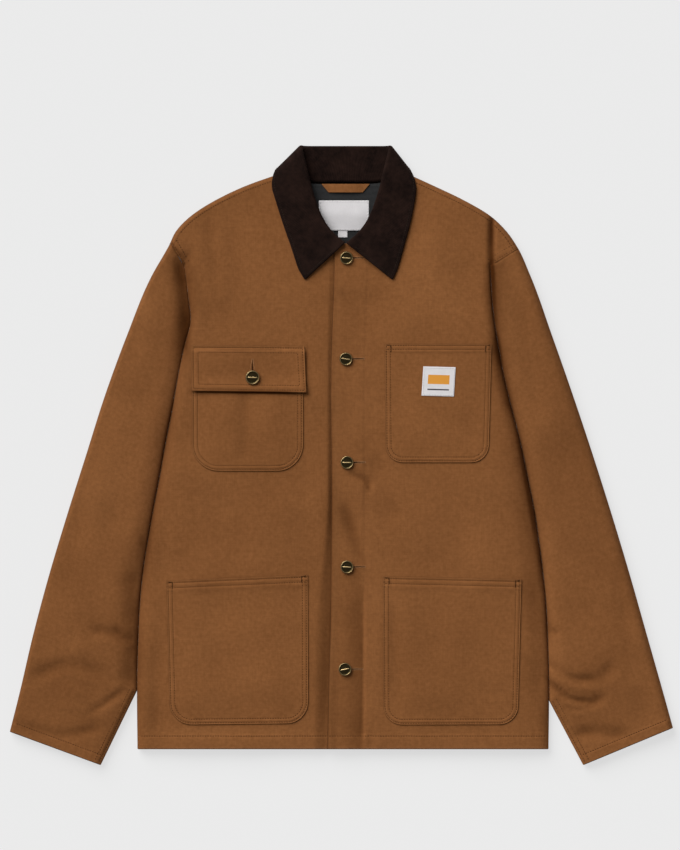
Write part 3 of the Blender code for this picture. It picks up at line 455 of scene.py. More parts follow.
# Bands woven into the patch: low, high, left and right edge and colour.
PATCH_BANDS = (
    (-3.5, 8.5, -14.0, 14.0, (0.72, 0.30, 0.03)),
    (-11.5, -9.7, -14.0, 14.0, (0.05, 0.04, 0.05)),
)
LINING = dict(left=-56.0, right=66.0, bottom=262.0, top=350.0)
HANGER_LOOP = dict(low=341.0, high=351.5, low_half=22.0, high_half=31.0, bow=1.6)
NECK_LABEL = dict(left=-28.5, right=36.0, bottom=291.5, top=330.0)
SIZE_TAB = dict(left=-3.5, right=8.0, bottom=282.5, top=291.8)
LINING_LIFT = 0.8             # gap between the back and the lining
LABEL_LIFT = 2.9              # the label's top over the back's wall
LABEL_CURL = 0.6              # how far its lower edge stands off
LOOP_LIFT = 1.4               # the loop's top over the lining
LOOP_WALL = 1.0
TAB_BELOW_LABEL = 0.7
HEM_ROW = 16.0
HEM_START = {RIGHT: -18.5, LEFT: -16.0}   # where the fronts' hem stitches begin
BACK_HEM = (-258.0, 263.0)
CUFF_ROW = 12.0
FACING = 41.0                 # width of the facing behind the front's opening edge
SLEEVE_SEAM_ROWS = (3.8, 9.6)
ARMHOLE_ROWS = (1.8, 8.0)
ARMHOLE_FADE = 3.0            # how fast the seam's relief ends below it
ARMHOLE_LENGTH = 38.0         # about, for placing the grid's rows
SHOULDER_ROW = 6.0
COLLAR_ROW = 5.0
PATCH_ROW = 1.3
LABEL_ROW = 1.2
# Bar tacks at a pocket's mouth: their corner from its corner, going inwards, and from there
# where each starts and stops and how wide it is.
TACK_CORNER = (1.6, -1.0)
BAR_TACKS = (
    ((0.0, 0.0), (6.4, -0.6), 1.5),
    ((6.0, -0.4), (6.2, -9.0), 1.3),
)
# How much higher the doubled cloth stands at each sewn edge.
PLY = dict(
    facing=0.5, hem=0.7, armhole=0.6, shoulder=0.4, sleeve_seam=0.5, cuff=0.6,
    pocket=0.3, mouth=0.6, flap=0.6,
)

BUTTON_RADIUS = 8.5
BUTTONS = {
    "button_1": dict(place=(7.2, 255.5), turn=-4),
    "button_2": dict(place=(6.5, 124.2), turn=-10),
    "button_3": dict(place=(7.8, -10.4), turn=0),
    "button_4": dict(place=(7.8, -146.3), turn=-3),
    "button_5": dict(place=(5.2, -279.2), turn=12),
    "flap_button": dict(place=(-115.0, 100.2), turn=-2, size=1.08),
}
BUTTON_SIDES = 40
BUTTON_GAP = 0.3              # between a button's foot and the cloth
BUTTONHOLE = 24.0
BUTTONHOLE_BAR = 1.2          # length of the bars round a buttonhole
# Direction of a hole from its button, and how wide its bars and its slit open there.
FRONT_HOLE = dict(run=(1, 0.02), bars=0.5, slit=0.5)
FLAP_HOLE = dict(run=(0, 1), bars=4.2, slit=1.0)
HOLE_END = 0.25               # half width of a hole at its closed end
HOLE_BAR_STEP = 0.6           # from one bar to the next, and from the slit to the bars' middles
SLIT_RISE = 0.12
SLIT_WALL = 0.3
# Turned profile of a button, from the foot round the rim to the middle; 'shine' is how much
# the finish is rubbed bright there.
BUTTON_PROFILE = table("""
    radius height shine
    0      0.2    0
    3      0      0
    6.2    0.1    0
    7.7    0.7    0.1
    8.35   1.4    0.25
    8.5    2.1    0.35
    8.35   2.8    0.45
    8      3.25   0.45
    7.6    3.4    0.4
    7.25   3.25   0.3
    7      2.9    0.1
    6.6    2.7    0
    5      2.75   0
    3      2.9    0
    0      3      0
""")
BUTTON_BAR = dict(length=11.8, width=1.7, height=0.6, base=2.75)


# ---- curves and surfaces ----
def smooth(keys, values, at):
    """Cubic through the values; each one's slope is that between its two neighbours."""
    slopes = np.gradient(values, keys)
    at = np.clip(at, keys[0], keys[-1])
    i = np.clip(np.searchsorted(keys, at, side="right") - 1, 0, len(keys) - 2)
    step = keys[i + 1] - keys[i]
    t = (at - keys[i]) / step
    return (
        (1 + 2 * t) * (1 - t) ** 2 * values[i]
        + t * (1 - t) ** 2 * step * slopes[i]
        + t * t * (3 - 2 * t) * values[i + 1]
        - t * t * (1 - t) * step * slopes[i + 1]
    )


def lengths(path):
    """Distance along the path to each of its points."""
    steps = np.linalg.norm(np.diff(path, axis=0), axis=1)
    return np.concatenate([[0.0], np.cumsum(steps)])


def fractions(path):
    """The same as shares of the whole length."""
    return lengths(path) / lengths(path)[-1]


def unit(vectors):
    """The vectors divided by their lengths."""
    return vectors / np.linalg.norm(vectors, axis=-1, keepdims=True)


def along_path(path, at):
    """Points at these fractions of the length of a path of straight runs."""
    share = fractions(path)
    return np.stack([np.interp(at, share, column) for column in path.T], axis=1)


def smooth_path(points, at):
    """Points at these fractions of the length of a smooth curve through the given ones."""
    points = np.array(points, float)
    chord = lengths(points)
    fine = np.linspace(0, chord[-1], 400)
    return along_path(np.stack([smooth(chord, column, fine) for column in points.T], axis=1), at)


def points_of(rows, side=1):
    """The points of a table in plan; side turns an x that is counted outwards."""
    return np.stack([side * rows["x"], rows["y"]], axis=1)


def eased(value, low, high):
    """0 below low, 1 above high, and a smooth step between."""
    t = np.clip((value - low) / (high - low), 0, 1)
    return t * t * (3 - 2 * t)


def nearest_on(path, points):
    """(signed distance, fraction of segments passed) to a path; left of its run is positive."""
    flat, chunk = points.reshape(-1, 2), 4000
    start, run = path[:-1], np.diff(path, axis=0)
    away, along = np.empty(len(flat)), np.empty(len(flat))
    for low in range(0, len(flat), chunk):
        part = flat[low:low + chunk, None]
        t = np.clip(((part - start) * run).sum(2) / (run * run).sum(1), 0, 1)
        off = part - start - t[..., None] * run
        distance = np.hypot(off[..., 0], off[..., 1])
        i, row = distance.argmin(1), np.arange(len(part))
        turn = run[i, 0] * off[row, i, 1] - run[i, 1] * off[row, i, 0]
        away[low:low + chunk] = np.where(turn < 0, -1, 1) * distance[row, i]
        along[low:low + chunk] = (i + t[row, i]) / len(run)
    return away.reshape(points.shape[:-1]), along.reshape(points.shape[:-1])


def roll(distance, radius):
    """Share of full height at a distance from an edge: a quarter ellipse, upright there."""
    inward = np.clip(np.abs(distance) / radius, 0, 1)
    return np.sqrt(1 - (1 - inward) ** 2)


def roll_steps(radius, count):
    """Distances from an edge that cut a roll into equal turns."""
    return radius * (1 - np.cos(np.linspace(0, math.pi / 2, count + 1)))


def grid_lines(length, from_start=(), from_end=(), cell=CELL):
    """Fractions of a length about one cell apart, with extra lines near its two ends."""
    marks = np.concatenate([[0, length], from_start, length - np.asarray(from_end, float)])
    marks = np.unique(np.round(marks[(marks >= 0) & (marks <= length)], 3))
    spans = [
        np.linspace(a, b, max(1, round((b - a) / cell)) + 1)[:-1]
        for a, b in zip(marks[:-1], marks[1:])
    ]
    return np.append(np.concatenate(spans), length) / length


def coons(bottom, top, left, right, u, v):
    """Grid between four border curves; rows follow v, columns follow u.

    Rows are straight blends of bottom and top, moved by how far the side borders bow out.
    That move fades with the square of the distance from its border.
    """
    u, v = np.asarray(u)[None, :, None], np.asarray(v)[:, None, None]
    ruled = (1 - v) * bottom[None] + v * top[None]
    left_bow, right_bow = left[:, None] - ruled[:, :1], right[:, None] - ruled[:, -1:]
    return ruled + (1 - u) ** 2 * left_bow + u ** 2 * right_bow


def straight(start, end, at):
    """Points at these shares of the way from start to end."""
    at = np.asarray(at)[:, None]
    return np.asarray(start) * (1 - at) + np.asarray(end) * at


def moved_aside(path, distance):
    """The path moved level to its left by a distance."""
    run = np.gradient(path, axis=0)
    return path + distance * unit(np.stack([-run[:, 1], run[:, 0]], axis=1))


def with_height(plan, height):
    return np.concatenate([plan, np.broadcast_to(height, plan.shape[:-1])[..., None]], axis=-1)


# ---- relief of the cloth ----
waves = np.random.default_rng(11)
WAVE_COUNT = 26
WAVE_TURNS = waves.uniform(0, 2 * math.pi, WAVE_COUNT)
WAVE_LENGTHS = waves.uniform(45, 170, WAVE_COUNT)
WAVE_STARTS = waves.uniform(0, 2 * math.pi, WAVE_COUNT)
UNEVEN = 0.16             # height of each long wave; they add up to soft unevenness
CALM_Y, CALM_SIDE, CALM = (190, 230), (90, 120), 0.9   # where they are lower, and how much


def unevenness(points):
    """Sum of long low sine waves in all directions, calm under the collar."""
    total = np.zeros(points.shape[:-1])
    for turn, length, start in zip(WAVE_TURNS, WAVE_LENGTHS, WAVE_STARTS):
        across = points[..., 0] * math.cos(turn) + points[..., 1] * math.sin(turn)
        total += UNEVEN * (length / 90) * np.sin(2 * math.pi * across / length + start)
    beside = np.abs(points[..., 0] - COLLAR_X)
    near_neck = eased(points[..., 1], *CALM_Y) * (1 - eased(beside, *CALM_SIDE))
    return total * (1 - CALM * near_neck)


def fold_relief(folds, points):
    """Sum of the creases' heights.

    Across a crease the height is a bell curve with a width for each of its sides, and lean
    adds a side wave to it. Along it the height swells and shrinks unevenly and fades to a
    quarter at both ends.
    """
    total = np.zeros(points.shape[:-1])
    for i in range(len(folds["rise"])):
        ends = [(folds[f"x{k}"][i], folds[f"y{k}"][i]) for k in range(3)]
        away, along = nearest_on(smooth_path(ends, np.linspace(0, 1, 17)), points)
        across = away / np.where(away > 0, folds["left"][i], folds["right"][i])
        fade = np.minimum(1, 4 * np.minimum(along, 1 - along) + 0.25)
        swell = 1 + 0.22 * np.sin(2 * math.pi * (1.3 * along + 0.37 * i))
        bell = np.exp(-np.minimum(across ** 2, 30))
        lean = 1.6 * folds["lean"][i] * across * bell
        total += fade * swell * (folds["rise"][i] * bell + lean)
    return total


def sewn(away, along, rows, ply, reach=None):
    """Extra height beside a sewn edge, from the distance to it and the length along it.

    The doubled cloth stands ply higher out to its last row or to reach, each row presses a
    narrow groove, and small uneven waves run along beside the rows.
    """
    away = np.abs(away)
    reach = reach or rows[-1] + 1.2
    height = ply * (1 - eased(away, reach + PLY_STEP[0], reach + PLY_STEP[1]))
    swell = 0.55 + 0.45 * np.sin(along / 23.0) * np.sin(along / 61.0 + 1.3)
    for row in rows:
        height = height - GROOVE * np.exp(-((away - row) / GROOVE_WIDTH) ** 2)
        beside = np.exp(-((away - row) / PUCKER_WIDTH) ** 2)
        wave = np.sin(2 * math.pi * along / PUCKER_LENGTH + 1.7 * np.sin(along / 19.0))
        height = height + PUCKER * beside * swell * wave
    return height


def sewn_on(path, points, rows, ply):
    """Extra height at points beside a sewn path."""
    away, along = nearest_on(path, points)
    return sewn(away, along * lengths(path)[-1], rows, ply)


# ---- lines of the jacket in plan ----
def edge_line(rows, side, y):
    """The side line or the outline at heights y."""
    y = np.asarray(y, float)
    return np.stack([side * smooth(rows["y"], rows[SIDE_NAMES[side]], y), y], axis=-1)


def fold_line(side, low):
    """Points down the fold between body and sleeve, and down the free edge to low."""
    return edge_line(SIDE, side, np.linspace(low, SEAM_END_Y, 70))


def whole_outline(side):
    return edge_line(OUTLINE, side, np.linspace(OUTLINE["y"][0], NECK_POINT_Y, 90))


def shoulder_line(side):
    return edge_line(OUTLINE, side, np.linspace(TIP_Y[side], NECK_POINT_Y, 40))


def sleeve_inner_edge(side):
    """Free inner edge of the sleeve, from the body down to the cuff."""
    out, y = CUFF[side]["inner"]
    return np.array([edge_line(SIDE, side, CUFF[side]["split"]), (side * out, y)])


def cuff_line(side):
    return np.array([sleeve_inner_edge(side)[1], edge_line(OUTLINE, side, CUFF[side]["outer_y"])])


def armhole_seam(side, at):
    """Straight part of the armhole seam, from its fold (0) to the shoulder tip (1)."""
    return straight(edge_line(SIDE, side, SEAM_END_Y), edge_line(OUTLINE, side, TIP_Y[side]), at)


def opening_edge(at):
    return smooth_path(points_of(FRONT_EDGE), at)


def body_side(side):
    """Side edge of the body from hem to shoulder tip: free edge, fold, armhole seam."""
    hem_to_fold = grid_lines(SEAM_END_Y - HEM_Y, FINE_EDGE, (0.8, 1.6, 2.4))
    seam = grid_lines(ARMHOLE_LENGTH, (0.8, 1.6, 2.4), roll_steps(14.0, 6), cell=1.8)
    return np.concatenate([
        edge_line(SIDE, side, HEM_Y + hem_to_fold * (SEAM_END_Y - HEM_Y)),
        armhole_seam(side, seam[1:]),
    ])


# ---- height fields ----
def trough_at(side, y):
    """How far the upper layer sinks along the side line; nothing at the shoulder tip."""
    return smooth(SIDE["y"], SIDE["trough"], y) * (1 - eased(y, SEAM_END_Y - 6, TIP_Y[side]))


def top_height(side, points, part):
    """Outer height of the upper layer: its loft and creases, rolled down at every edge."""
    y = points[..., 1]
    low = HEM_Y if part == "body" else CUFF[side]["split"]
    full = smooth(LOFT["y"], LOFT[part], y)
    full = full + fold_relief(BODY_FOLDS if part == "body" else SLEEVE_FOLDS, points)
    full = full + unevenness(points)
    away, along = nearest_on(whole_outline(side), points)
    outline_y = OUTLINE["y"][0] + along * (NECK_POINT_Y - OUTLINE["y"][0])
    share = roll(away, smooth(OUTLINE["y"], OUTLINE[f"roll_{SIDE_NAMES[side]}"], outline_y))
    away, along = nearest_on(fold_line(side, low), points)
    line_y = low + along * (SEAM_END_Y - low)
    sunk = trough_at(side, np.maximum(line_y, y))
    share = share * (1 - sunk * (1 - roll(away, smooth(SIDE["y"], SIDE[part], line_y))))
    if part == "sleeve":
        away, along = nearest_on(sleeve_inner_edge(side), points)
        inner = roll(away, np.interp(along, (0, 1), FREE_EDGE_ROLLS))
        share = np.where(y < low + FREE_EDGE_REACH, np.minimum(share, inner), share)
    return MIDDLE + (full - MIDDLE) * share


def bottom_height(side, points, part):
    """Outer height of the lower layer: on the table but for low lifts, curled up at edges."""
    y = points[..., 1]
    low = HEM_Y if part == "body" else CUFF[side]["split"]
    away, _ = nearest_on(whole_outline(side), points)
    curl = 1 - roll(away, UNDER_ROLL)
    away, along = nearest_on(fold_line(side, low), points)
    under = np.clip(smooth(SIDE["y"], SIDE["under"], low + along * (SEAM_END_Y - low)), 0, 1)
    curl = np.maximum(curl, under * (1 - roll(away, UNDER_ROLL)))
    rise = REST + fold_relief(BACK_FOLDS, points)
    if part == "sleeve":
        away, _ = nearest_on(sleeve_inner_edge(side), points)
        near = y < low + UNDER_ROLL
        curl = np.where(near, np.maximum(curl, 1 - roll(away, UNDER_ROLL)), curl)
    else:
        beside = np.abs(points[..., 0] - COLLAR_X)
        rise = rise + NECK_RISE * eased(y, *NECK_RISE_Y) * (1 - eased(beside, *NECK_RISE_SIDE))
    return rise + (MIDDLE - rise) * curl


def front_outer(side, points):
    """Outer height of a front with its sewn edges; the right one passes under the left."""
    x, y = points[..., 0], points[..., 1]
    height = top_height(side, points, "body")
    if side == RIGHT:
        edge = np.interp(y, FRONT_EDGE["y"], FRONT_EDGE["x"])
        span = UNDERLAP_SPAN + UNDERLAP_LONGER * (1 - eased(y, *UNDERLAP_TURN))
        sink = np.interp(y, UNDERLAP_SINK["y"], UNDERLAP_SINK["sink"])
        height = height - sink * eased((x - edge + span) / span, 0, 1)
    else:
        path = opening_edge(np.linspace(0, 1, 60))
        away, along = nearest_on(path, points)
        height = height + sewn(away, along * lengths(path)[-1], (), PLY["facing"], FACING)
        lift = EDGE_LIFT["low"] * eased(-y, *EDGE_LIFT["turn"]) + EDGE_LIFT["all"]
        height = height + lift * np.exp(-(away / EDGE_LIFT["width"]) ** 2)
    height = height + sewn(y - HEM_Y, x, (HEM_ROW,), PLY["hem"])
    seam = armhole_seam(side, np.linspace(0, 1, 12))
    near = np.exp(-np.maximum(0, SEAM_END_Y - y) / ARMHOLE_FADE)
    height = height + near * sewn_on(seam, points, ARMHOLE_ROWS, PLY["armhole"])
    return height + sewn_on(shoulder_line(side), points, (SHOULDER_ROW,), PLY["shoulder"])


def back_outer(points):
    """Outer height of the back, from the two sides' lower layers; its hem folds up inwards."""
    return np.where(
        points[..., 0] < 0,
        bottom_height(RIGHT, points, "body"),
        bottom_height(LEFT, points, "body"),
    )


def over_sleeve_outer(side, points):
    """Outer height of a top sleeve, with its felled inner seam and hemmed cuff."""
    height = top_height(side, points, "sleeve")
    split = CUFF[side]["split"]
    below = 1 - eased(points[..., 1], split - 4, split + 12)
    seam = sewn_on(sleeve_inner_edge(side), points, SLEEVE_SEAM_ROWS, PLY["sleeve_seam"])
    return height + below * seam + sewn_on(cuff_line(side), points, (CUFF_ROW,), PLY["cuff"])


def under_sleeve_outer(side, points):
    return bottom_height(side, points, "sleeve")


def four_sided(shape, across, up, inset=0.0):
    """Plan points at shares across and up a four-sided shape, its sides moved in by inset."""
    across, up = np.meshgrid(across, up)
    left = np.interp(up, (0, 1), shape["left"]) + inset
    right = np.interp(up, (0, 1), shape["right"]) - inset
    low, high = (np.interp(across, (0, 1), shape[name]) for name in ("bottom", "top"))
    return np.stack([left * (1 - across) + right * across, low * (1 - up) + high * up], axis=-1)


def pocket_plan(patch, across, up):
    """Plan points of a patch pocket; each row ends on the side edge or on a round corner."""
    tall = patch["top"][0] - patch["bottom"][0]
    inset = (1 - roll(up * tall, patch["corner"]))[:, None] * patch["corner"]
    return four_sided(patch, across, up, inset)


def pocket_outline(patch, count=90):
    """(sides and bottom, mouth) of a patch pocket in plan, from its left top to its right."""
    ends = pocket_plan(patch, (0, 1), np.linspace(0, 1, count) ** 2)
    return np.concatenate([ends[::-1, 0], ends[:, 1]]), ends[-1]


def flap_outline():
    """Corners of the flap, from its left top down and round to it again."""
    (low_left, low_right), (high_left, high_right) = four_sided(FLAP, (0, 1), (0, 1))
    return np.array([high_left, low_left, low_right, high_right, high_left])


def pocket_outer(name, points):
    """Outer height of a patch pocket: on its front, a little full, with sewn edges."""
    patch = PATCHES[name]
    height = front_outer(patch["side"], points) + LAY_GAP + PATCH_WALL
    sides, mouth = pocket_outline(patch)
    away, along = nearest_on(sides, points)
    full = POCKET_FULLNESS * eased(np.abs(away), 6, 46)
    full = full + fold_relief(POCKET_FOLDS, points) * eased(np.abs(away), 2, 16)
    height = height + full + sewn(away, along * lengths(sides)[-1], POCKET_ROWS, PLY["pocket"])
    away, _ = nearest_on(mouth, points)
    return height + sewn(away, points[..., 0], patch["hem_rows"], PLY["mouth"], patch["hem"])


def flap_outer(points):
    """Outer height of the flap: on the pocket, on the front above it, lower edge standing off."""
    x, y = points[..., 0], points[..., 1]
    mouth, low = PATCHES["chest_pocket_right"]["top"][0], FLAP["bottom"][0]
    over = 1 - eased(y, mouth - 3, mouth + 2)
    height = front_outer(RIGHT, points) + (1 + over) * (LAY_GAP + PATCH_WALL) + FLAP_GAP * over
    height = height + FLAP_LIFT * (1 - eased(y, low, low + FLAP_BEND))
    away, _ = nearest_on(flap_outline(), points)
    across, up = (x - FLAP_DENT["x"]) / FLAP_DENT["wide"], (y - FLAP_DENT["y"]) / FLAP_DENT["tall"]
    dent = FLAP_DENT["depth"] * np.exp(-across ** 2 - up ** 2)
    return height - dent + sewn(away, x + y, FLAP_ROWS, PLY["flap"])


def lining_outer(points):
    """The lining on the inside of the back."""
    wool = 0.25 * np.sin(points[..., 0] / 7.0) * np.sin(points[..., 1] / 9.0 + 1.0)
    return back_outer(points) + BODY_WALL + LINING_LIFT + LINING_WALL + wool


def label_outer(points):
    """The neck label, lightly waved and standing off at its lower edge."""
    x, y = points[..., 0], points[..., 1]
    wave = 0.3 * np.sin(x / 9.0 + 0.5) * eased(-y, -322, -296) + 0.25 * np.sin(y / 8.0)
    return back_outer(points) + BODY_WALL + LABEL_LIFT + wave + LABEL_CURL * eased(-y, -306, -291)


# ---- making pieces ----
BORDERS = {
    "first_row": (0, slice(None)),
    "last_row": (-1, slice(None)),
    "first_column": (slice(None), 0),
    "last_column": (slice(None), -1),
}
OUTER, INNER, RIM = 0, 1, 2
RIM_ANGLES = np.radians((35, 90, 145))


def grid_normals(grid):
    """Unit normals of a grid of points, by the differences along its rows and columns."""
    return unit(np.cross(np.gradient(grid, axis=1), np.gradient(grid, axis=0)))


def level_across(run):
    """Level unit vectors square to the plan directions in run."""
    return unit(np.stack([run[..., 1], -run[..., 0], np.zeros(run.shape[:-1])], axis=-1))


def square_border(normals, border, across, rolled):
    """Turns the normals along one border: upright on a cut edge, level on a rolled one."""
    sideways = (normals[border] * across).sum(1, keepdims=True)
    cut = unit(normals[border] - sideways * across)
    level = np.where(sideways < 0, -across, across)
    share = np.broadcast_to(np.asarray(rolled, float), (len(cut),))[:, None]
    normals[border] = unit((1 - share) * cut + share * level)


def around(grid):
    """Values of a grid along its border, in order round it."""
    return np.concatenate([grid[0], grid[1:, -1], grid[-1, -2::-1], grid[-2:0:-1, 0]])


def tube_quads(rings):
    """Faces between neighbouring rings of point numbers, each ring closed round."""
    near, far = rings[:-1], rings[1:]
    return np.stack([near, np.roll(near, -1, 1), np.roll(far, -1, 1), far], axis=-1).reshape(-1, 4)


def closed_shell(outer, inner, soft):
    """Points, faces, the layer of each face and the grid point of each point.

    Two grids joined round their border. Where soft is 1 the rim is a half round, as a folded
    edge is, and where it is 0 a flat strip.
    """
    rows, columns = outer.shape[:2]
    count = rows * columns
    index = np.arange(count).reshape(rows, columns)
    border = around(index)
    top, low = outer.reshape(-1, 3)[border], inner.reshape(-1, 3)[border]
    middle, half = (top + low) / 2, (top - low) / 2
    facing = np.sign((half * grid_normals(outer).reshape(-1, 3)[border]).sum())
    run = np.roll(middle, -1, axis=0) - np.roll(middle, 1, axis=0)
    outward = facing * np.cross(run, half)
    size, wanted = (np.linalg.norm(vectors, axis=1, keepdims=True) for vectors in (outward, half))
    depth = around(soft)[:, None] * outward * (wanted / size)
    rings = [middle + math.cos(a) * half + math.sin(a) * depth for a in RIM_ANGLES]
    points = np.concatenate([outer.reshape(-1, 3), inner.reshape(-1, 3), *rings])
    source = np.concatenate([index.ravel(), index.ravel(), *[border] * len(rings)])
    corners = np.stack([index[:-1, :-1], index[:-1, 1:], index[1:, 1:], index[1:, :-1]], axis=-1)
    corners = corners.reshape(-1, 4)
    steps = 2 * count + np.arange(len(rings) * len(border)).reshape(-1, len(border))
    strips = np.stack([border, *steps, border + count])
    near, far = strips[:-1], strips[1:]
    rim = np.stack([np.roll(near, -1, 1), near, far, np.roll(far, -1, 1)], axis=-1).reshape(-1, 4)
    layers = np.repeat((OUTER, INNER, RIM), (len(corners), len(corners), len(rim)))
    faces = np.concatenate([corners, corners[:, ::-1] + count, rim])
    return points, faces, layers, source


def signed_volume(points, faces):
    """Sum over the faces of the volume between each and the origin."""
    a, b, c = (points[faces[:, k]] for k in range(3))
    total = (a * np.cross(b, c)).sum()
    if faces.shape[1] == 4:
        total += (a * np.cross(c, points[faces[:, 3]])).sum()
    return total


def add_piece(
    name, points, face_sets, materials, uv=None, marks=None, layers=None, stands_for=()
):
    """One mesh object riding on the jacket, its faces turned outwards.

    face_sets are arrays of faces with the same number of corners, uv is metres along the
    cloth, and marks are values for each point that the material reads.
    """
    if sum(signed_volume(points, faces[:, :4]) for faces in face_sets) < 0:
        face_sets = [faces[:, ::-1] for faces in face_sets]
    points = np.concatenate([points[:, :2], np.maximum(points[:, 2:], 0)], axis=1)
    loops = np.concatenate([faces.ravel() for faces in face_sets])
    sizes = np.concatenate([np.full(len(faces), faces.shape[1]) for faces in face_sets])
    starts = np.concatenate([[0], np.cumsum(sizes)[:-1]])
    mesh = bpy.data.meshes.new(name)
    mesh.vertices.add(len(points))
    mesh.vertices.foreach_set("co", (points * MM).astype(np.float32).ravel())
    mesh.loops.add(len(loops))
    mesh.loops.foreach_set("vertex_index", loops.astype(np.int32))
    mesh.polygons.add(len(sizes))
    mesh.polygons.foreach_set("loop_start", starts.astype(np.int32))
    mesh.update(calc_edges=True)
    if layers is not None and len(materials) > 1:
        mesh.polygons.foreach_set("material_index", (layers == INNER).astype(np.int32))
    if uv is not None:
        mesh.uv_layers.new(name="cloth").data.foreach_set("uv", uv[loops].astype(np.float32).ravel())
    for mark, values in (marks or {}).items():
        mesh.attributes.new(mark, "FLOAT", "POINT").data.foreach_set("value", values.astype(np.float32))
    for material in materials:
        mesh.materials.append(material)
    mesh.shade_smooth()
    mesh.validate()
    obj = bpy.data.objects.new(name, mesh)
    bpy.context.scene.collection.objects.link(obj)
    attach(obj, "root")
    if stands_for:
        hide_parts(*stands_for)
    return obj


def add_wall(part, kind, outer, thickness, facing, edges, soft_edges, materials, uv, wear_and_highlight, shade=None):
    """A cloth wall under an outer grid, standing for the solid of a part.

    edges gives the rolled share of each border, or for a straight cut its plan direction.
    soft_edges are the borders that end in a folded edge. wear is 1 on rubbed edges, which the
    canvas makes lighter as worn cloth and painted highlight. shade is painted shade, and the rim
    mark picks out the rim, which the canvas darkens as painted shadow.
    """
    normals = facing * grid_normals(outer)
    for border, edge in edges.items():
        if isinstance(edge, tuple):
            across, rolled = level_across(np.array(edge)), 0.0
        else:
            across, rolled = level_across(np.gradient(outer[BORDERS[border]], axis=0)), edge
        square_border(normals, BORDERS[border], across, rolled)
    soft = np.zeros(outer.shape[:2])
    for border in soft_edges:
        soft[BORDERS[border]] = 1.0
    points, faces, layers, source = closed_shell(outer, outer - thickness * normals, soft)
    shade = np.zeros(outer.shape[:2]) if shade is None else shade
    rim = np.arange(len(points)) >= 2 * outer[..., 0].size
    return add_piece(
        f"{part}_{kind}", points, [faces], materials,
        uv=uv.reshape(-1, 2)[source] * MM,
        marks={"wear_and_highlight": wear_and_highlight.ravel()[source], "shade": shade.ravel()[source], "rim": rim * 1.0},
        layers=layers, stands_for=[part],
    )


# ---- sewing ----
# A stitch: rings of the thread along its length, as (place, thickness, sink).
STITCH_RINGS = ((-1.0, 0.35, 1.0), (-0.55, 0.95, 0.15), (0.55, 0.95, 0.15), (1.0, 0.35, 1.0))
STITCH_SIDES = 5
FRAME_STEP = 0.8          # how far apart a height field is read for its slope


def surface_frame(height, centres, run, facing):
    """(centres in space, unit run, unit side, unit normal) on a height field."""
    side = np.stack([-run[:, 1], run[:, 0]], axis=1)
    at = with_height(centres, height(centres))
    ahead, beside = (
        with_height(centres + FRAME_STEP * way, height(centres + FRAME_STEP * way)) - at
        for way in (run, side)
    )
    ahead = unit(ahead)
    normal = unit(facing * np.cross(ahead, beside))
    return at, ahead, np.cross(normal, ahead), normal


def stitch_points(at, ahead, side, normal, length, thread):
    """Points and faces of many stitches: short bent threads whose ends dive into the cloth."""
    angles = 2 * math.pi * np.arange(STITCH_SIDES) / STITCH_SIDES
    rings = []
    for place, thick, sink in STITCH_RINGS:
        centre = at + 0.5 * length * place * ahead + thread * (0.3 - 1.1 * sink) * normal
        rings.append(
            centre[:, None]
            + thick * thread * np.cos(angles)[None, :, None] * side[:, None]
            + 0.8 * thick * thread * np.sin(angles)[None, :, None] * normal[:, None]
        )
    points = np.stack(rings, axis=1).reshape(-1, 3)
    one = np.arange(len(STITCH_RINGS) * STITCH_SIDES).reshape(-1, STITCH_SIDES)
    shift = (np.arange(len(at)) * one.size)[:, None, None]
    caps = np.stack([one[0][::-1], one[-1]]) + shift
    return points, (tube_quads(one) + shift).reshape(-1, 4), caps.reshape(-1, STITCH_SIDES)


def row_places(path, reach=0.3):
    """Middles and directions of stitches end to end along a path."""
    count = max(1, int(lengths(path)[-1] / STITCH_PITCH))
    at = (np.arange(count) + 0.5) / count
    step = reach / count
    return along_path(path, at), unit(along_path(path, at + step) - along_path(path, at - step))


def parallel(path, distance, trim):
    """The path moved aside by a distance and shortened at both ends."""
    path = along_path(path, np.linspace(0, 1, max(20, int(lengths(path)[-1] / 2))))
    moved = moved_aside(path, distance)
    cut = trim / lengths(moved)[-1]
    return along_path(moved, np.linspace(cut, 1 - cut, len(moved)))


def dense_stitches(start, end, width):
    """Middles, directions and length of close bars across the line from start to end."""
    run = np.subtract(end, start)
    long = np.linalg.norm(run)
    count = max(3, int(long / BAR_PITCH))
    middles = straight(start, end, (np.arange(count) + 0.5) / count)
    return middles, np.tile([-run[1] / long, run[0] / long], (count, 1)), width


def add_stitches(name, sets, material):
    """One mesh of stitches; a set is their centres, three unit directions, length and thread."""
    point_sets, quad_sets, cap_sets, shift = [], [], [], 0
    for one_set in sets:
        points, quads, caps = stitch_points(*one_set)
        point_sets.append(points)
        quad_sets.append(quads + shift)
        cap_sets.append(caps + shift)
        shift += len(points)
    faces = [np.concatenate(quad_sets), np.concatenate(cap_sets)]
    return add_piece(name, np.concatenate(point_sets), faces, [material])


def add_sewing(name, height, rows, bars, material, facing=1):
    """All the stitches on one piece as one mesh: rows of long ones and bars of close ones."""
    places = [(*row_places(path), STITCH, THREAD) for path in rows]
    places += [(*bar, BAR_THREAD) for bar in bars]
    sets = [
        (*surface_frame(height, middles, run, facing), length, thread)
        for middles, run, length, thread in places
    ]
    return add_stitches(name, sets, material)


# ---- materials ----
def feed(tree, socket, value):
    """Links a socket's value to an input, or sets the input; a colour is set opaque."""
    if isinstance(value, bpy.types.NodeSocket):
        tree.links.new(value, socket)
    else:
        socket.default_value = (*value, 1) if socket.type == "RGBA" else value


def add_node(tree, kind, inputs=None, **settings):
    """A node with its settings and its inputs fed."""
    node = tree.nodes.new(kind)
    for key, value in settings.items():
        setattr(node, key, value)
    for key, value in (inputs or {}).items():
        feed(tree, node.inputs[key], value)
    return node


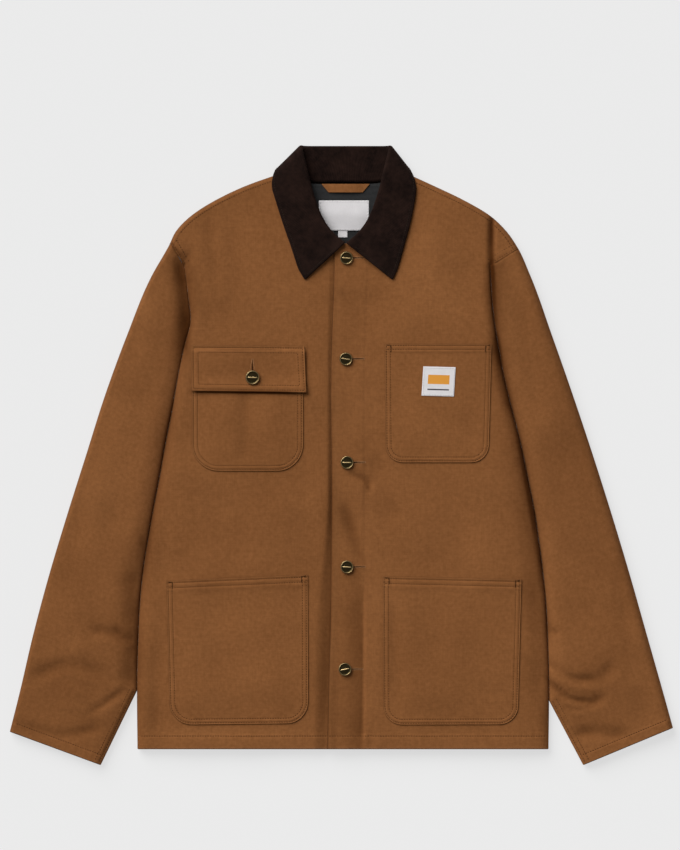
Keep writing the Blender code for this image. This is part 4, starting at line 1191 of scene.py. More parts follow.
def calc(tree, operation, first, second=0.0, third=0.0, clamp=False):
    """Result of a math node on values or sockets."""
    inputs = {0: first, 1: second, 2: third}
    return add_node(tree, "ShaderNodeMath", inputs, operation=operation, use_clamp=clamp).outputs[0]


def blend_colours(tree, share, first, second):
    inputs = {"Factor": share, 6: first, 7: second}
    return add_node(tree, "ShaderNodeMix", inputs, data_type="RGBA").outputs[2]


def vector_calc(tree, operation, *values):
    inputs = dict(enumerate(values))
    return add_node(tree, "ShaderNodeVectorMath", inputs, operation=operation).outputs[0]


def weighted(tree, start, *terms):
    """start plus each value times its weight, held between 0 and 1."""
    total = start
    for k, (value, weight) in enumerate(terms, 1):
        total = calc(tree, "MULTIPLY_ADD", value, weight, total, clamp=k == len(terms))
    return total


def noise(tree, vector, scale, detail=2.0, rough=0.5):
    inputs = {"Vector": vector, "Scale": scale, "Detail": detail, "Roughness": rough}
    return add_node(tree, "ShaderNodeTexNoise", inputs).outputs[0]


def point_mark(tree, name):
    """The values stored under a name on the points of the piece."""
    return add_node(tree, "ShaderNodeAttribute", attribute_name=name).outputs["Fac"]


def new_group(name, inputs, outputs):
    """An empty shader group with float or vector inputs and its outputs."""
    group = bpy.data.node_groups.new(name, "ShaderNodeTree")
    for label, kind, value in inputs:
        socket = group.interface.new_socket(label, in_out="INPUT", socket_type=kind)
        if value is not None:
            socket.default_value = value
    for label, kind in outputs:
        group.interface.new_socket(label, in_out="OUTPUT", socket_type=kind)
    start, end = group.nodes.new("NodeGroupInput"), group.nodes.new("NodeGroupOutput")
    return group, start.outputs, end.inputs


FLOAT, VECTOR = "NodeSocketFloat", "NodeSocketVector"


def weave_group():
    """Plain weave: yarns of both ways as half rounds, each on top in every second cell.

    Height is the cloth's surface and Slub the thicker and thinner stretches of the yarns.
    """
    group, given, out = new_group(
        "plain weave", [("Vector", VECTOR, None), ("Yarn", FLOAT, YARN)],
        [("Height", FLOAT), ("Slub", FLOAT)],
    )
    yarns = {0: given["Vector"], "Scale": calc(group, "DIVIDE", math.pi, given["Yarn"])}
    place = add_node(group, "ShaderNodeVectorMath", yarns, operation="SCALE").outputs[0]
    apart = add_node(group, "ShaderNodeSeparateXYZ", {0: place}).outputs
    warp, weft = calc(group, "SINE", apart[0]), calc(group, "SINE", apart[1])
    over = calc(group, "MULTIPLY", calc(group, "MULTIPLY", warp, weft), 0.8)
    tops = [
        calc(group, "MULTIPLY", calc(group, "ABSOLUTE", yarn), calc(group, way, 0.6, over))
        for yarn, way in ((warp, "ADD"), (weft, "SUBTRACT"))
    ]
    streaks = [
        noise(group, vector_calc(group, "MULTIPLY", given["Vector"], stretch), 1.0)
        for stretch in ((900.0, 45.0, 1.0), (45.0, 900.0, 1.0))
    ]
    feed(group, out["Height"], calc(group, "MAXIMUM", *tops))
    feed(group, out["Slub"], calc(group, "MULTIPLY", calc(group, "ADD", *streaks), 0.5))
    return group


def mottle_group():
    """Uneven shade of dyed cloth: broad soft patches, and small flecks where it takes less dye."""
    group, given, out = new_group(
        "cloth mottle",
        [("Vector", VECTOR, None), ("Scale", FLOAT, 12.0), ("Fleck Scale", FLOAT, 210.0)],
        [("Shade", FLOAT), ("Fleck", FLOAT)],
    )
    broad = noise(group, given["Vector"], given["Scale"], 4.0, 0.62)
    small = noise(group, given["Vector"], given["Fleck Scale"], 2.0, 0.6)
    feed(group, out["Shade"], weighted(group, -0.7, (broad, 2.4)))
    feed(group, out["Fleck"], weighted(group, -0.5, (small, 2.0)))
    return group


def rubbed_and_highlight_group():
    """Where an edge is rubbed, and as painted highlight: the piece's wear mark, broken up by noise,
    0 to 1.
    """
    group, given, out = new_group(
        "rubbed edge", [("Vector", VECTOR, None), ("Amount", FLOAT, 0.5)], [("Mask", FLOAT)]
    )
    patchy = weighted(group, -0.2, (noise(group, given["Vector"], 160.0, 3.0), 1.6))
    broken = calc(group, "MULTIPLY", point_mark(group, "wear_and_highlight"), patchy)
    feed(group, out["Mask"], calc(group, "MULTIPLY", broken, given["Amount"], clamp=True))
    return group


def plain_material(name, **shader_values):
    """(material, node tree, shader) of a new material."""
    made = bpy.data.materials.new(name)
    made.use_nodes = True
    shader = made.node_tree.nodes["Principled BSDF"]
    for key, value in shader_values.items():
        feed(made.node_tree, shader.inputs[key.replace("_", " ")], value)
    return made, made.node_tree, shader


def new_material(name, **shader_values):
    """(material, node tree, shader, object coordinates, cloth coordinates) of a new material."""
    made, tree, shader = plain_material(name, **shader_values)
    place = add_node(tree, "ShaderNodeTexCoord")
    cloth = add_node(tree, "ShaderNodeUVMap", uv_map="cloth")
    return made, tree, shader, place.outputs["Object"], cloth.outputs[0]


def use_group(tree, group, **inputs):
    """Outputs of a group placed in a material."""
    return add_node(tree, "ShaderNodeGroup", inputs, node_tree=group).outputs


def dress(tree, shader, colour, height, strength, distance):
    """Gives the shader its colour and a bump of this height."""
    inputs = {"Height": height, "Strength": strength, "Distance": distance}
    feed(tree, shader.inputs["Base Color"], colour)
    feed(tree, shader.inputs["Normal"], add_node(tree, "ShaderNodeBump", inputs).outputs[0])


def canvas_material(name, groups, dark, light, worn_and_highlight, rim_shadow):
    """Duck canvas: plain weave in relief, slubby and flecked shade, and edges lighter as worn cloth
    and painted highlight.

    The piece's shade mark, painted shade, darkens it, blue more than red, and its rim, where two
    layers meet, is darkened as painted shadow too.
    """
    made, tree, shader, place, cloth = new_material(
        name, Roughness=0.9, Sheen_Weight=0.05, Sheen_Roughness=0.5, Specular_IOR_Level=0.07,
        Sheen_Tint=(0.9, 0.5, 0.25),
    )
    weave = use_group(tree, groups["weave"], Vector=cloth)
    mottle = use_group(tree, groups["mottle"], Vector=place, Scale=14.0)
    streak = weighted(tree, -1.0, (weave["Slub"], 3.0))
    share = weighted(
        tree, -0.17, (mottle["Shade"], 0.25), (streak, 0.3), (mottle["Fleck"], 0.5),
        (weave["Height"], 0.3),
    )
    # edges made lighter, as worn cloth and painted highlight
    rubbed = use_group(tree, groups["rubbed"], Vector=place, Amount=0.35)["Mask"]
    colour = blend_colours(tree, rubbed, blend_colours(tree, share, dark, light), worn_and_highlight)
    # painted shade: the shade mark darkens the colour, blue most
    shade = point_mark(tree, "shade")
    darker = vector_calc(tree, "MULTIPLY_ADD", shade, (-1.0, -1.1, -1.25), (1.0, 1.0, 1.0))
    darker = vector_calc(tree, "MAXIMUM", darker, (0.03, 0.02, 0.01))
    colour = vector_calc(tree, "MULTIPLY", colour, darker)
    # painted shadow along the rim, three quarters of the way to the rim shadow colour
    colour = blend_colours(tree, calc(tree, "MULTIPLY", point_mark(tree, "rim"), 0.75), colour, rim_shadow)
    dress(tree, shader, colour, weave["Height"], 0.5, 0.00018)
    return made


def corduroy_material(groups):
    """Fine corduroy: rounded ribs across the fall, and nap crushed darker and lighter in patches."""
    made, tree, shader, place, cloth = new_material(
        "dark corduroy", Roughness=0.95, Sheen_Weight=0.12, Sheen_Roughness=0.35,
        Specular_IOR_Level=0.08, Sheen_Tint=(0.45, 0.26, 0.20),
    )
    across = add_node(tree, "ShaderNodeSeparateXYZ", {0: cloth}).outputs[0]
    rib = calc(tree, "ABSOLUTE", calc(tree, "SINE", calc(tree, "MULTIPLY", across, math.pi / WALE)))
    height = calc(tree, "ADD", rib, calc(tree, "MULTIPLY", noise(tree, place, 900.0), 0.5))
    mottle = use_group(tree, groups["mottle"], Vector=place, Scale=42.0, **{"Fleck Scale": 150.0})
    share = weighted(tree, -0.25, (rib, 0.2), (mottle["Shade"], 0.75), (mottle["Fleck"], 0.5))
    colour = blend_colours(tree, share, (0.0042, 0.0019, 0.0014), (0.0212, 0.0100, 0.0071))
    dress(tree, shader, colour, height, 0.6, 0.0004)
    return made


def lining_material():
    """Brushed blanket cloth: felted fibres in two sizes, with faint woven stripes."""
    made, tree, shader, _, cloth = new_material(
        "blanket lining", Roughness=0.96, Sheen_Weight=0.2, Sheen_Roughness=0.6, Specular_IOR_Level=0.1
    )
    fibres, tufts = noise(tree, cloth, 1400.0, 3.0, 0.7), noise(tree, cloth, 260.0)
    along = add_node(tree, "ShaderNodeSeparateXYZ", {0: cloth}).outputs[1]
    stripe = calc(tree, "SINE", calc(tree, "MULTIPLY", along, 2 * math.pi / LINING_STRIPE))
    share = weighted(tree, -0.35, (stripe, 0.08), (tufts, 0.6), (fibres, 1.0))
    colour = blend_colours(tree, share, (0.0070, 0.0072, 0.0074), (0.0270, 0.0276, 0.0282))
    dress(tree, shader, colour, calc(tree, "ADD", fibres, tufts), 0.8, 0.0004)
    return made


def label_material(name, groups, bands=()):
    """Satin-woven label tape. bands are woven stripes: (low, high, left, right, colour) in UV."""
    made, tree, shader, place, cloth = new_material(
        name, Roughness=0.6, Sheen_Weight=0.15, Specular_IOR_Level=0.35
    )
    weave = use_group(tree, groups["weave"], Vector=cloth, Yarn=LABEL_YARN)
    shade = use_group(tree, groups["mottle"], Vector=place, Scale=60.0)["Shade"]
    share = weighted(tree, 0.0, (shade, 0.4), (weave["Height"], 0.5))
    colour = blend_colours(tree, share, (0.62, 0.595, 0.60), (0.82, 0.795, 0.80))
    apart = add_node(tree, "ShaderNodeSeparateXYZ", {0: cloth}).outputs
    for low, high, left, right, ink in bands:
        inside = [
            calc(tree, "COMPARE", apart[axis], (start + end) / 2 * MM, (end - start) / 2 * MM)
            for axis, start, end in ((1, low, high), (0, left, right))
        ]
        colour = blend_colours(tree, calc(tree, "MULTIPLY", *inside), colour, ink)
    dress(tree, shader, colour, weave["Height"], 0.4, 0.0001)
    return made


def thread_material(name, dark, light):
    """Sewing thread: two shades that wander along the seam, with a twisted surface."""
    made, tree, shader, place, _ = new_material(name, Roughness=0.85, Specular_IOR_Level=0.08)
    share = weighted(tree, -0.5, (noise(tree, place, 120.0), 2.0))
    inputs = {"Vector": place, "Scale": 900.0, "Distortion": 1.0}
    twist = add_node(tree, "ShaderNodeTexWave", inputs, bands_direction="DIAGONAL").outputs[1]
    dress(tree, shader, blend_colours(tree, share, dark, light), twist, 0.4, 0.0001)
    return made


def brass_material():
    """Darkened brass, bright where the shine mark says it is rubbed, with fine scratches."""
    made, tree, shader, place, _ = new_material("aged brass", Metallic=1.0)
    grime = noise(tree, place, 700.0, 4.0, 0.7)
    share = weighted(tree, -0.3, (point_mark(tree, "shine"), 1.1), (grime, 0.5))
    colour = blend_colours(tree, share, (0.052, 0.038, 0.016), (0.72, 0.52, 0.25))
    feed(tree, shader.inputs["Roughness"], calc(tree, "MULTIPLY_ADD", share, 0.06, 0.34))
    dress(tree, shader, colour, grime, 0.25, 0.0001)
    return made


# ---- cloth pieces ----
def side_rolled(side, path, part):
    """Rolled share along a side border: level at a side seam, upright at the armhole."""
    y = path[:, 1]
    rows = SIDE["trough"] if part == "top" else SIDE["under"]
    return np.clip(smooth(SIDE["y"], rows, y) - 0.7, 0, 0.3) / 0.3 * (y < SEAM_END_Y)


def painted_cloth_shade(points, *folds, side=None):
    """Painted shade: how much darker the colour is made in creases by their depth, and along the
    runs of painted light and shade.

    A side's outline, where the cloth turns under, gets painted shade too. Past SHADE_KNEE the
    shade gains less and less, by SHADE_MORE at most.
    """
    depth = sum(np.clip(-fold_relief(rows, points), 0, 5) for rows in folds)
    shade = fold_relief(PAINTED_SHADES, points) + PAINTED_CREASE_SHADE * depth
    if side is not None:
        away = nearest_on(whole_outline(side), points)[0] / OUTLINE_PAINTED_SHADE_WIDTH
        shade = shade + OUTLINE_PAINTED_SHADE[side] * np.exp(-away ** 2)
    soft = SHADE_KNEE + SHADE_MORE * np.tanh((shade - SHADE_KNEE) / SHADE_MORE)
    return np.where(shade > SHADE_KNEE, soft, shade)


def edge_wear_and_highlight(*distances):
    """1 on the nearest edge, falling to 0 a few millimetres in; there the cloth is lighter, as
    worn cloth and painted highlight.
    """
    return np.max([np.exp(-np.abs(away) / WEAR_AND_HIGHLIGHT_WIDTH) for away in distances], axis=0)


def make_front(side, cloth, lining):
    """A front, from the opening edge to the side and from hem to neck and shoulder."""
    side_path = moved_aside(body_side(side), side * SEAM_GAP / 2)
    v = fractions(side_path)
    if side == LEFT:
        edge = opening_edge(v)
    else:
        edge = straight((UNDERLAP_X, HEM_Y), (UNDERLAP_X, NECKLINE[RIGHT]["y"][0]), v)
    width = abs(side_path[0, 0] - edge[0, 0])
    starts = (*FINE_EDGE[:4], *EDGE_COLUMNS[side], NECK_SHARE * width)
    u = grid_lines(width, starts, (*roll_steps(SIDE["body"].max(), 9), *SIDE_COLUMNS[side]))
    on_neck = u <= NECK_SHARE + 1e-6
    neck = smooth_path(points_of(NECKLINE[side], side), u[on_neck] / NECK_SHARE)
    past_neck = (u[~on_neck] - NECK_SHARE) / (1 - NECK_SHARE)
    top = np.concatenate([neck, smooth_path(shoulder_line(side)[::-1], past_neck)])
    plan = coons(straight(edge[0], side_path[0], u), top, edge, side_path, u, v)
    grid = with_height(plan, front_outer(side, plan))
    neck_end = len(neck) - 1
    along_top = np.where(np.arange(len(u)) >= neck_end, 1.0, 0.0)
    grid[-1, neck_end:, 2] = ABOVE_SEAM
    rolled = side_rolled(side, plan[:, -1], "top")
    grid[rolled > ROLLED, -1, 2] = ABOVE_SEAM
    y = plan[..., 1]
    wear_and_highlight = edge_wear_and_highlight(y - HEM_Y, nearest_on(edge, plan)[0] + 6 * eased(y, *EDGE_RUB_AND_HIGHLIGHT_FADE))
    return add_wall(
        f"front_{SIDE_NAMES[side]}", "canvas", grid, BODY_WALL, side,
        dict(first_row=0, first_column=0, last_row=along_top, last_column=rolled),
        ("first_row", "first_column"), [cloth, lining], plan, wear_and_highlight,
        painted_cloth_shade(plan, BODY_FOLDS, side=side),
    )


def make_back(cloth, lining):
    """The back, from side to side on the table and from hem to neck and shoulders."""
    right = moved_aside(body_side(RIGHT), -SEAM_GAP / 2)
    left = moved_aside(body_side(LEFT), SEAM_GAP / 2)
    v = (fractions(right) + fractions(left)) / 2
    width = left[0, 0] - right[0, 0]
    neck_from, neck_to = BACK_NECKLINE["x"][[0, -1]] - right[0, 0]
    roll_in = roll_steps(UNDER_ROLL, 5)
    u = grid_lines(width, (*roll_in, neck_from, neck_to), roll_in, cell=WIDE_CELL)
    before, after = u < neck_from / width - 1e-6, u > neck_to / width + 1e-6
    middle = ~(before | after)
    on_neck = (u[middle] * width - neck_from) / (neck_to - neck_from)
    top = np.concatenate([
        smooth_path(shoulder_line(RIGHT), u[before] * width / neck_from),
        smooth_path(points_of(BACK_NECKLINE), on_neck),
        smooth_path(shoulder_line(LEFT)[::-1], (u[after] * width - neck_to) / (width - neck_to)),
    ])
    plan = coons(straight(right[0], left[0], u), top, right, left, u, v)
    grid = with_height(plan, back_outer(plan))
    along_top = np.where(middle, 0.0, 1.0)
    along_top[[np.argmax(middle), len(u) - 1 - np.argmax(middle[::-1])]] = 1.0
    grid[-1, along_top > 0, 2] = BELOW_SEAM
    rolled = {}
    for side, column in ((RIGHT, 0), (LEFT, -1)):
        rolled[side] = side_rolled(side, plan[:, column], "under")
        grid[rolled[side] > ROLLED, column, 2] = BELOW_SEAM
    edges = dict(first_row=0, last_row=along_top, first_column=rolled[RIGHT], last_column=rolled[LEFT])
    return add_wall(
        "back", "canvas", grid, BODY_WALL, -1, edges, ("first_row",), [cloth, lining],
        plan, edge_wear_and_highlight(plan[..., 1] - HEM_Y),
    )


def sleeve_plan(side, u):
    """(plan grid, v in millimetres) of a sleeve: rows from cuff to armhole, columns across."""
    free, split = sleeve_inner_edge(side)[::-1], CUFF[side]["split"]
    fold_y = split + grid_lines(SEAM_END_Y - split, SLEEVE_ROWS) * (SEAM_END_Y - split)
    inner = np.concatenate([
        along_path(free, grid_lines(lengths(free)[-1], FINE_EDGE, cell=2.2)[:-1]),
        edge_line(SIDE, side, fold_y),
        armhole_seam(side, (0.04,)),
    ])
    inner = moved_aside(inner, -side * SEAM_GAP / 2)[:-1]
    inner[-1] += (side * SEAM_GAP, -SEAM_GAP)
    v = fractions(inner)
    outer_y = np.linspace(CUFF[side]["outer_y"], TIP_Y[side], 120)
    outer = smooth_path(edge_line(OUTLINE, side, outer_y), v)
    outer[-1] = moved_aside(armhole_seam(side, (0, 1)), -side * SEAM_GAP / 2)[1]
    u = np.concatenate([[0.0], u, [1.0]])
    cuff, seam = straight(inner[0], outer[0], u), straight(inner[-1], outer[-1], u)
    return coons(cuff, seam, inner, outer, u, v)[:, 1:-1], v * lengths(inner)[-1]


def inner_rolled(side, path, part):
    """Rolled share down a sleeve's inner border, level all along its free edge."""
    free = path[:, 1] < CUFF[side]["split"] + 1
    return np.where(free, 1.0, side_rolled(side, path, part))


def add_sleeve(part, side, facing, grid, across, up, rolled, wear_and_highlight, materials, shade=None):
    """The wall of half a sleeve: cut at cuff and armhole, rolled down its inner border."""
    cuff, seam = (np.diff(line, axis=0)[0] for line in (cuff_line(side), armhole_seam(side, (0, 1))))
    edges = dict(first_row=tuple(cuff), last_row=tuple(seam), first_column=rolled, last_column=0)
    uv = np.stack(np.broadcast_arrays(across[None], up[:, None]), axis=-1)
    return add_wall(
        f"{part}_{SIDE_NAMES[side]}", "canvas", grid, SLEEVE_WALL, facing, edges, ("first_row",),
        materials, uv, wear_and_highlight, shade,
    )


def make_top_sleeve(side, cloth, lining):
    """Top sleeve, over the arm and round its outer edge a little way underneath."""
    inner_fine, outer_fine = roll_steps(SLEEVE_FINE[0], 7), roll_steps(SLEEVE_FINE[1], 10)
    over_u = grid_lines(SLEEVE_WIDTH, (*FINE_EDGE[:9], *inner_fine), outer_fine)
    rolled_in = roll_steps(UNDER_ROLL, 4)[1:] / SLEEVE_WIDTH
    wrapped = np.linspace(UNDER_ROLL / SLEEVE_WIDTH, SLEEVE_WRAP, 6)[1:]
    under_u = 1 - np.concatenate([rolled_in, wrapped])
    over, up = sleeve_plan(side, over_u)
    grid = with_height(over, over_sleeve_outer(side, over))
    rolled = inner_rolled(side, over[:, 0], "top")
    grid[rolled > ROLLED, 0, 2] = ABOVE_SEAM
    wrap, _ = sleeve_plan(side, under_u)
    grid = np.concatenate([grid, with_height(wrap, under_sleeve_outer(side, wrap))], axis=1)
    across = np.concatenate([over_u, 2 - under_u]) * SLEEVE_WIDTH
    inner = nearest_on(sleeve_inner_edge(side), grid[..., :2])[0] + 2
    wear_and_highlight = edge_wear_and_highlight(up[:, None] + 0 * across[None], inner)
    shade = painted_cloth_shade(grid[..., :2], SLEEVE_FOLDS, side=side)
    return add_sleeve("top_sleeve", side, side, grid, across, up, rolled, wear_and_highlight, [cloth, lining], shade)


def make_under_sleeve(side, cloth, lining):
    """Under sleeve, on the table from the inner seam to the edge of the top sleeve."""
    shown = 1 - SLEEVE_WRAP
    u = shown * grid_lines(SLEEVE_WIDTH * shown, roll_steps(UNDER_ROLL, 5), cell=WIDE_CELL)
    plan, up = sleeve_plan(side, u)
    plan[:, -1] = moved_aside(plan[:, -1], side * 2 * SEAM_GAP)
    grid = with_height(plan, under_sleeve_outer(side, plan))
    rolled = inner_rolled(side, plan[:, 0], "under")
    grid[rolled > ROLLED, 0, 2] = BELOW_SEAM
    wear_and_highlight = edge_wear_and_highlight(up[:, None] + 0 * u[None])
    return add_sleeve(
        "under_sleeve", side, -side, grid, u * SLEEVE_WIDTH, up, rolled, wear_and_highlight, [cloth, lining]
    )


# ---- collar ----
def neck_path(side, at):
    """Seam line of the collar in plan, just inside the body's neck edge."""
    share = np.linspace(0, 1, 60)
    back = points_of(BACK_NECKLINE)
    back = back[:2:-1] if side == LEFT else back[:4]
    front = moved_aside(smooth_path(points_of(NECKLINE[side], side)[1:], share), side * NECK_GAP)
    back = moved_aside(smooth_path(back, share), -side * NECK_GAP)
    path = np.concatenate([front[:-1], (front[-1:] + back[:1]) / 2, back[1:]])
    return np.stack([np.interp(at, np.linspace(0, 2, len(path)), c) for c in path.T], axis=1)


def collar_half(side):
    """Mid surface of half the collar: a row for each section, from neck seam to edge.

    The stand rises straight to the roll line, a half round turns it over, and the fall runs
    to the outer edge with a slight fullness.
    """
    rows = np.arange(len(COLLAR["neck"]))
    at = np.linspace(0, rows[-1], COLLAR_STATIONS)
    value = {name: smooth(rows, column, at) for name, column in COLLAR.items()}
    seam = with_height(neck_path(side, value["neck"]), value["nz"])
    out = value["e"] - value[SIDE_NAMES[side]]
    fold = np.stack([COLLAR_X + side * value["r"], value["ry"], value["rz"]], axis=1)
    edge = np.stack([COLLAR_X + side * out, value["ey"], value["ez"]], axis=1)
    out = unit((edge - fold) * (1, 1, 0))
    beside = side * np.stack([-out[:, 1], out[:, 0], np.zeros(len(out))], axis=1)
    turn = np.radians(value["turn"])[:, None]
    over = np.cos(turn) * beside + np.sin(turn) * (0, 0, 1)
    centre = fold + COLLAR_FOLD * out
    bend = [
        centre - COLLAR_FOLD * (math.cos(angle) * over + math.sin(angle) * out)
        for angle in np.linspace(0, math.pi, BEND_POINTS)
    ]
    stand = [
        seam * (1 - share) + bend[0] * share for share in np.linspace(0, 1, STAND_POINTS + 1)[:-1]
    ]
    fullness = FALL_FULLNESS * np.sin(np.radians(np.clip(value["turn"], 0, 90)))[:, None]
    fall = [
        bend[-1] * (1 - share) + edge * share + fullness * math.sin(math.pi * share) * over
        for share in FALL_SHARES
    ]
    return np.stack(stand + bend + fall, axis=1)


def make_collar(cloth):
    """One folded piece round the neck: a stand that rises to the roll line, and a fall."""
    right, left = collar_half(RIGHT), collar_half(LEFT)
    middle = np.concatenate([right, left[-2::-1]])
    normals = grid_normals(middle)
    outer, inner = (middle + share * COLLAR_WALL * normals for share in (0.5, -0.5))
    soft = np.zeros(middle.shape[:2])
    soft[0] = soft[-1] = soft[:, -1] = 1.0
    points, faces, _, source = closed_shell(outer, inner, soft)
    points[:, 2] = np.maximum(points[:, 2], 0.1)
    steps = np.linalg.norm(np.diff(middle, axis=1), axis=2)
    across = np.concatenate([np.zeros((len(middle), 1)), np.cumsum(steps, axis=1)], axis=1)
    along = lengths(middle[:, STAND_POINTS + BEND_POINTS // 2])
    uv = np.stack([np.broadcast_to(along[:, None], across.shape), across], axis=-1)
    piece = add_piece(
        "collar_corduroy", points, [faces], [cloth],
        uv=uv.reshape(-1, 2)[source] * MM, stands_for=["collar"],
    )
    return piece, middle, normals


def collar_sewing(middle, normals, material):
    """A row of stitches round the fall, a little in from its edge, on the side that shows."""
    up = normals * np.sign(normals[2, -3, 2])
    grid = middle + COLLAR_WALL / 2 * up
    start, edge = STAND_POINTS + BEND_POINTS, middle.shape[1] - 1
    reach = np.linalg.norm(middle[:, edge] - middle[:, start], axis=1)
    position = start + (1 - COLLAR_ROW / reach) * (edge - start)
    low = np.clip(position.astype(int), 0, edge - 1)
    part, rows = (position - low)[:, None], np.arange(len(middle))
    along = [values[rows, low] * (1 - part) + values[rows, low + 1] * part for values in (grid, up)]
    ends = slice(start + 2, edge - 3)
    paths = [(grid[row, ends], up[row, ends]) for row in (2, len(middle) - 3)]
    paths.append([values[2:-2] for values in along])
    sets = []
    for points, upward in paths:
        centres, ahead = row_places(points, reach=0.2)
        at, share = (np.arange(len(centres)) + 0.5) / len(centres), fractions(points)
        normal = np.stack([np.interp(at, share, c) for c in upward.T], axis=1)
        side = unit(np.cross(normal, ahead))
        sets.append((centres, ahead, side, np.cross(ahead, side), STITCH, THREAD))
    return add_stitches("collar_stitching", sets, material)


# ---- pieces laid on others ----
FLAT_EDGES = dict.fromkeys(BORDERS, 0)
ALL_SOFT = tuple(BORDERS)


def lay_piece(part, kind, plan, height, thickness, material, uv=None, shade=None):
    """A flat piece whose outer grid is the plan at the heights of a surface function."""
    rows, columns = (np.minimum(np.arange(count), np.arange(count)[::-1]) for count in plan.shape[:2])
    down = rows[:, None] * np.linalg.norm(plan[1, 0] - plan[0, 0])
    inward = columns[None] * np.linalg.norm(plan[0, 1] - plan[0, 0])
    wear_and_highlight = edge_wear_and_highlight(down + 0 * inward, inward + 0 * down)
    return add_wall(
        part, kind, with_height(plan, height(plan)), thickness, 1, FLAT_EDGES, ALL_SOFT,
        [material], plan if uv is None else uv, wear_and_highlight, shade,
    )


def make_pocket(name, cloth):
    """A patch pocket with round lower corners: rows from bottom to mouth."""
    patch = PATCHES[name]
    tall, wide = patch["top"][0] - patch["bottom"][0], patch["right"][0] - patch["left"][0]
    below_flap = np.arange(49.0, 60.0, 0.8) if name == "chest_pocket_right" else ()
    from_bottom = (0.2, *FINE_EDGE[:9], *roll_steps(patch["corner"], 9))
    up = grid_lines(tall, from_bottom, (*FINE_EDGE[:11], *below_flap), cell=3.2)
    plan = pocket_plan(patch, grid_lines(wide, FINE_EDGE[:9], FINE_EDGE[:9], cell=3.2), up)
    return lay_piece(
        name, "canvas", plan, partial(pocket_outer, name), PATCH_WALL, cloth,
        shade=painted_cloth_shade(plan, BODY_FOLDS, POCKET_FOLDS),
    )


def rectangle(left, right, bottom, top, x_lines, y_lines):
    """Plan points of a rectangle at these fractions of its width and height."""
    x, y = np.meshgrid(left + (right - left) * x_lines, bottom + (top - bottom) * y_lines)
    return np.stack([x, y], axis=-1)


def make_flap(cloth):
    wide, tall = FLAP["right"][0] - FLAP["left"][0], FLAP["top"][0] - FLAP["bottom"][0]
    lines = (grid_lines(size, FINE_EDGE[:10], FINE_EDGE[:10], cell=3.0) for size in (wide, tall))
    plan = four_sided(FLAP, *lines)
    shade = painted_cloth_shade(plan, BODY_FOLDS)
    return lay_piece("pocket_flap", "canvas", plan, flap_outer, PATCH_WALL, cloth, shade=shade)


def patch_turn():
    """The patch's small tilt, with its upright sides leaning a little more."""
    tilt = math.radians(CHEST_PATCH["tilt"])
    lean = CHEST_PATCH["lean"] - math.sin(tilt)
    return np.array([(math.cos(tilt), math.sin(tilt)), (lean, math.cos(tilt))])


def make_chest_patch(material):
    x, y = CHEST_PATCH["width"] / 2, CHEST_PATCH["height"] / 2
    lines = (grid_lines(2 * half, FINE_EDGE[:3], FINE_EDGE[:3], cell=2.0) for half in (x, y))
    flat = rectangle(-x, x, -y, y, *lines)
    plan = flat @ patch_turn() + CHEST_PATCH["centre"]
    return lay_piece("chest_patch", "tape", plan, patch_outer, LABEL_WALL, material, uv=flat)


def patch_outer(points):
    """The square patch on the left chest pocket."""
    return pocket_outer("chest_pocket_left", points) + LAY_GAP + LABEL_WALL


def loop_outer(points):
    """The hanger loop: a folded strip that bows up between its sewn ends."""
    along = np.clip(np.abs(points[..., 0] - COLLAR_X) / HANGER_LOOP["low_half"], 0, 1)
    return lining_outer(points) + LOOP_LIFT + HANGER_LOOP["bow"] * (1 - along ** 2)


def tab_outer(points):
    """The size tab, under the label's lower edge."""
    return label_outer(points) - TAB_BELOW_LABEL


def make_neck_pieces(cloth, lining, label):
    """Lining on the back, hanger loop, label and size tab, by name."""
    low, high = HANGER_LOOP["low"], HANGER_LOOP["high"]
    strip_lines = grid_lines(high - low, (0.6, 1.4), (0.6, 1.4), cell=1.0)
    loop = rectangle(-1, 1, low, high, np.linspace(0, 1, 41), strip_lines)
    share = (loop[..., 1] - low) / (high - low)
    half = HANGER_LOOP["low_half"] * (1 - share) + HANGER_LOOP["high_half"] * share
    loop[..., 0] = COLLAR_X + loop[..., 0] * half
    left, right, bottom, top = NECK_LABEL.values()
    sizes = (right - left, top - bottom)
    lines = (grid_lines(size, FINE_EDGE[:2], FINE_EDGE[:2], cell=2.2) for size in sizes)
    tape = rectangle(left, right, bottom, top, *lines)
    inside = rectangle(*LINING.values(), np.linspace(0, 1, 45), np.linspace(0, 1, 33))
    tab = rectangle(*SIZE_TAB.values(), np.linspace(0, 1, 9), np.linspace(0, 1, 8))
    pieces = {
        "neck_lining": ("cloth", inside, lining_outer, LINING_WALL, lining),
        "hanger_loop": ("canvas", loop, loop_outer, LOOP_WALL, cloth),
        "neck_label": ("tape", tape, label_outer, LABEL_WALL, label),
        "size_tab": ("tape", tab, tab_outer, LABEL_WALL, label),
    }
    return {name: lay_piece(name, *rest) for name, rest in pieces.items()}


# ---- buttons ----
def turned(profile, sides):
    """Points and faces of a profile turned round, closed at its two ends on the axis."""
    angles = 2 * math.pi * np.arange(sides) / sides
    circle = np.stack([np.cos(angles), np.sin(angles), np.zeros(sides)], axis=1)
    radius, height = (profile[name][1:-1, None, None] for name in ("radius", "height"))
    rings = radius * circle + height * (0, 0, 1)
    poles = np.array([(0, 0, profile["height"][0]), (0, 0, profile["height"][-1])])
    points = np.concatenate([rings.reshape(-1, 3), poles])
    index = np.arange(len(rings) * sides).reshape(-1, sides)
    foot, crown = len(points) - 2, len(points) - 1
    first, last = index[0], index[-1]
    caps = np.concatenate([
        np.stack([np.roll(first, -1), first, np.full(sides, foot)], axis=1),
        np.stack([last, np.roll(last, -1), np.full(sides, crown)], axis=1),
    ])
    shine = np.concatenate([np.repeat(profile["shine"][1:-1], sides), profile["shine"][[0, -1]]])
    return points, tube_quads(index), caps, shine


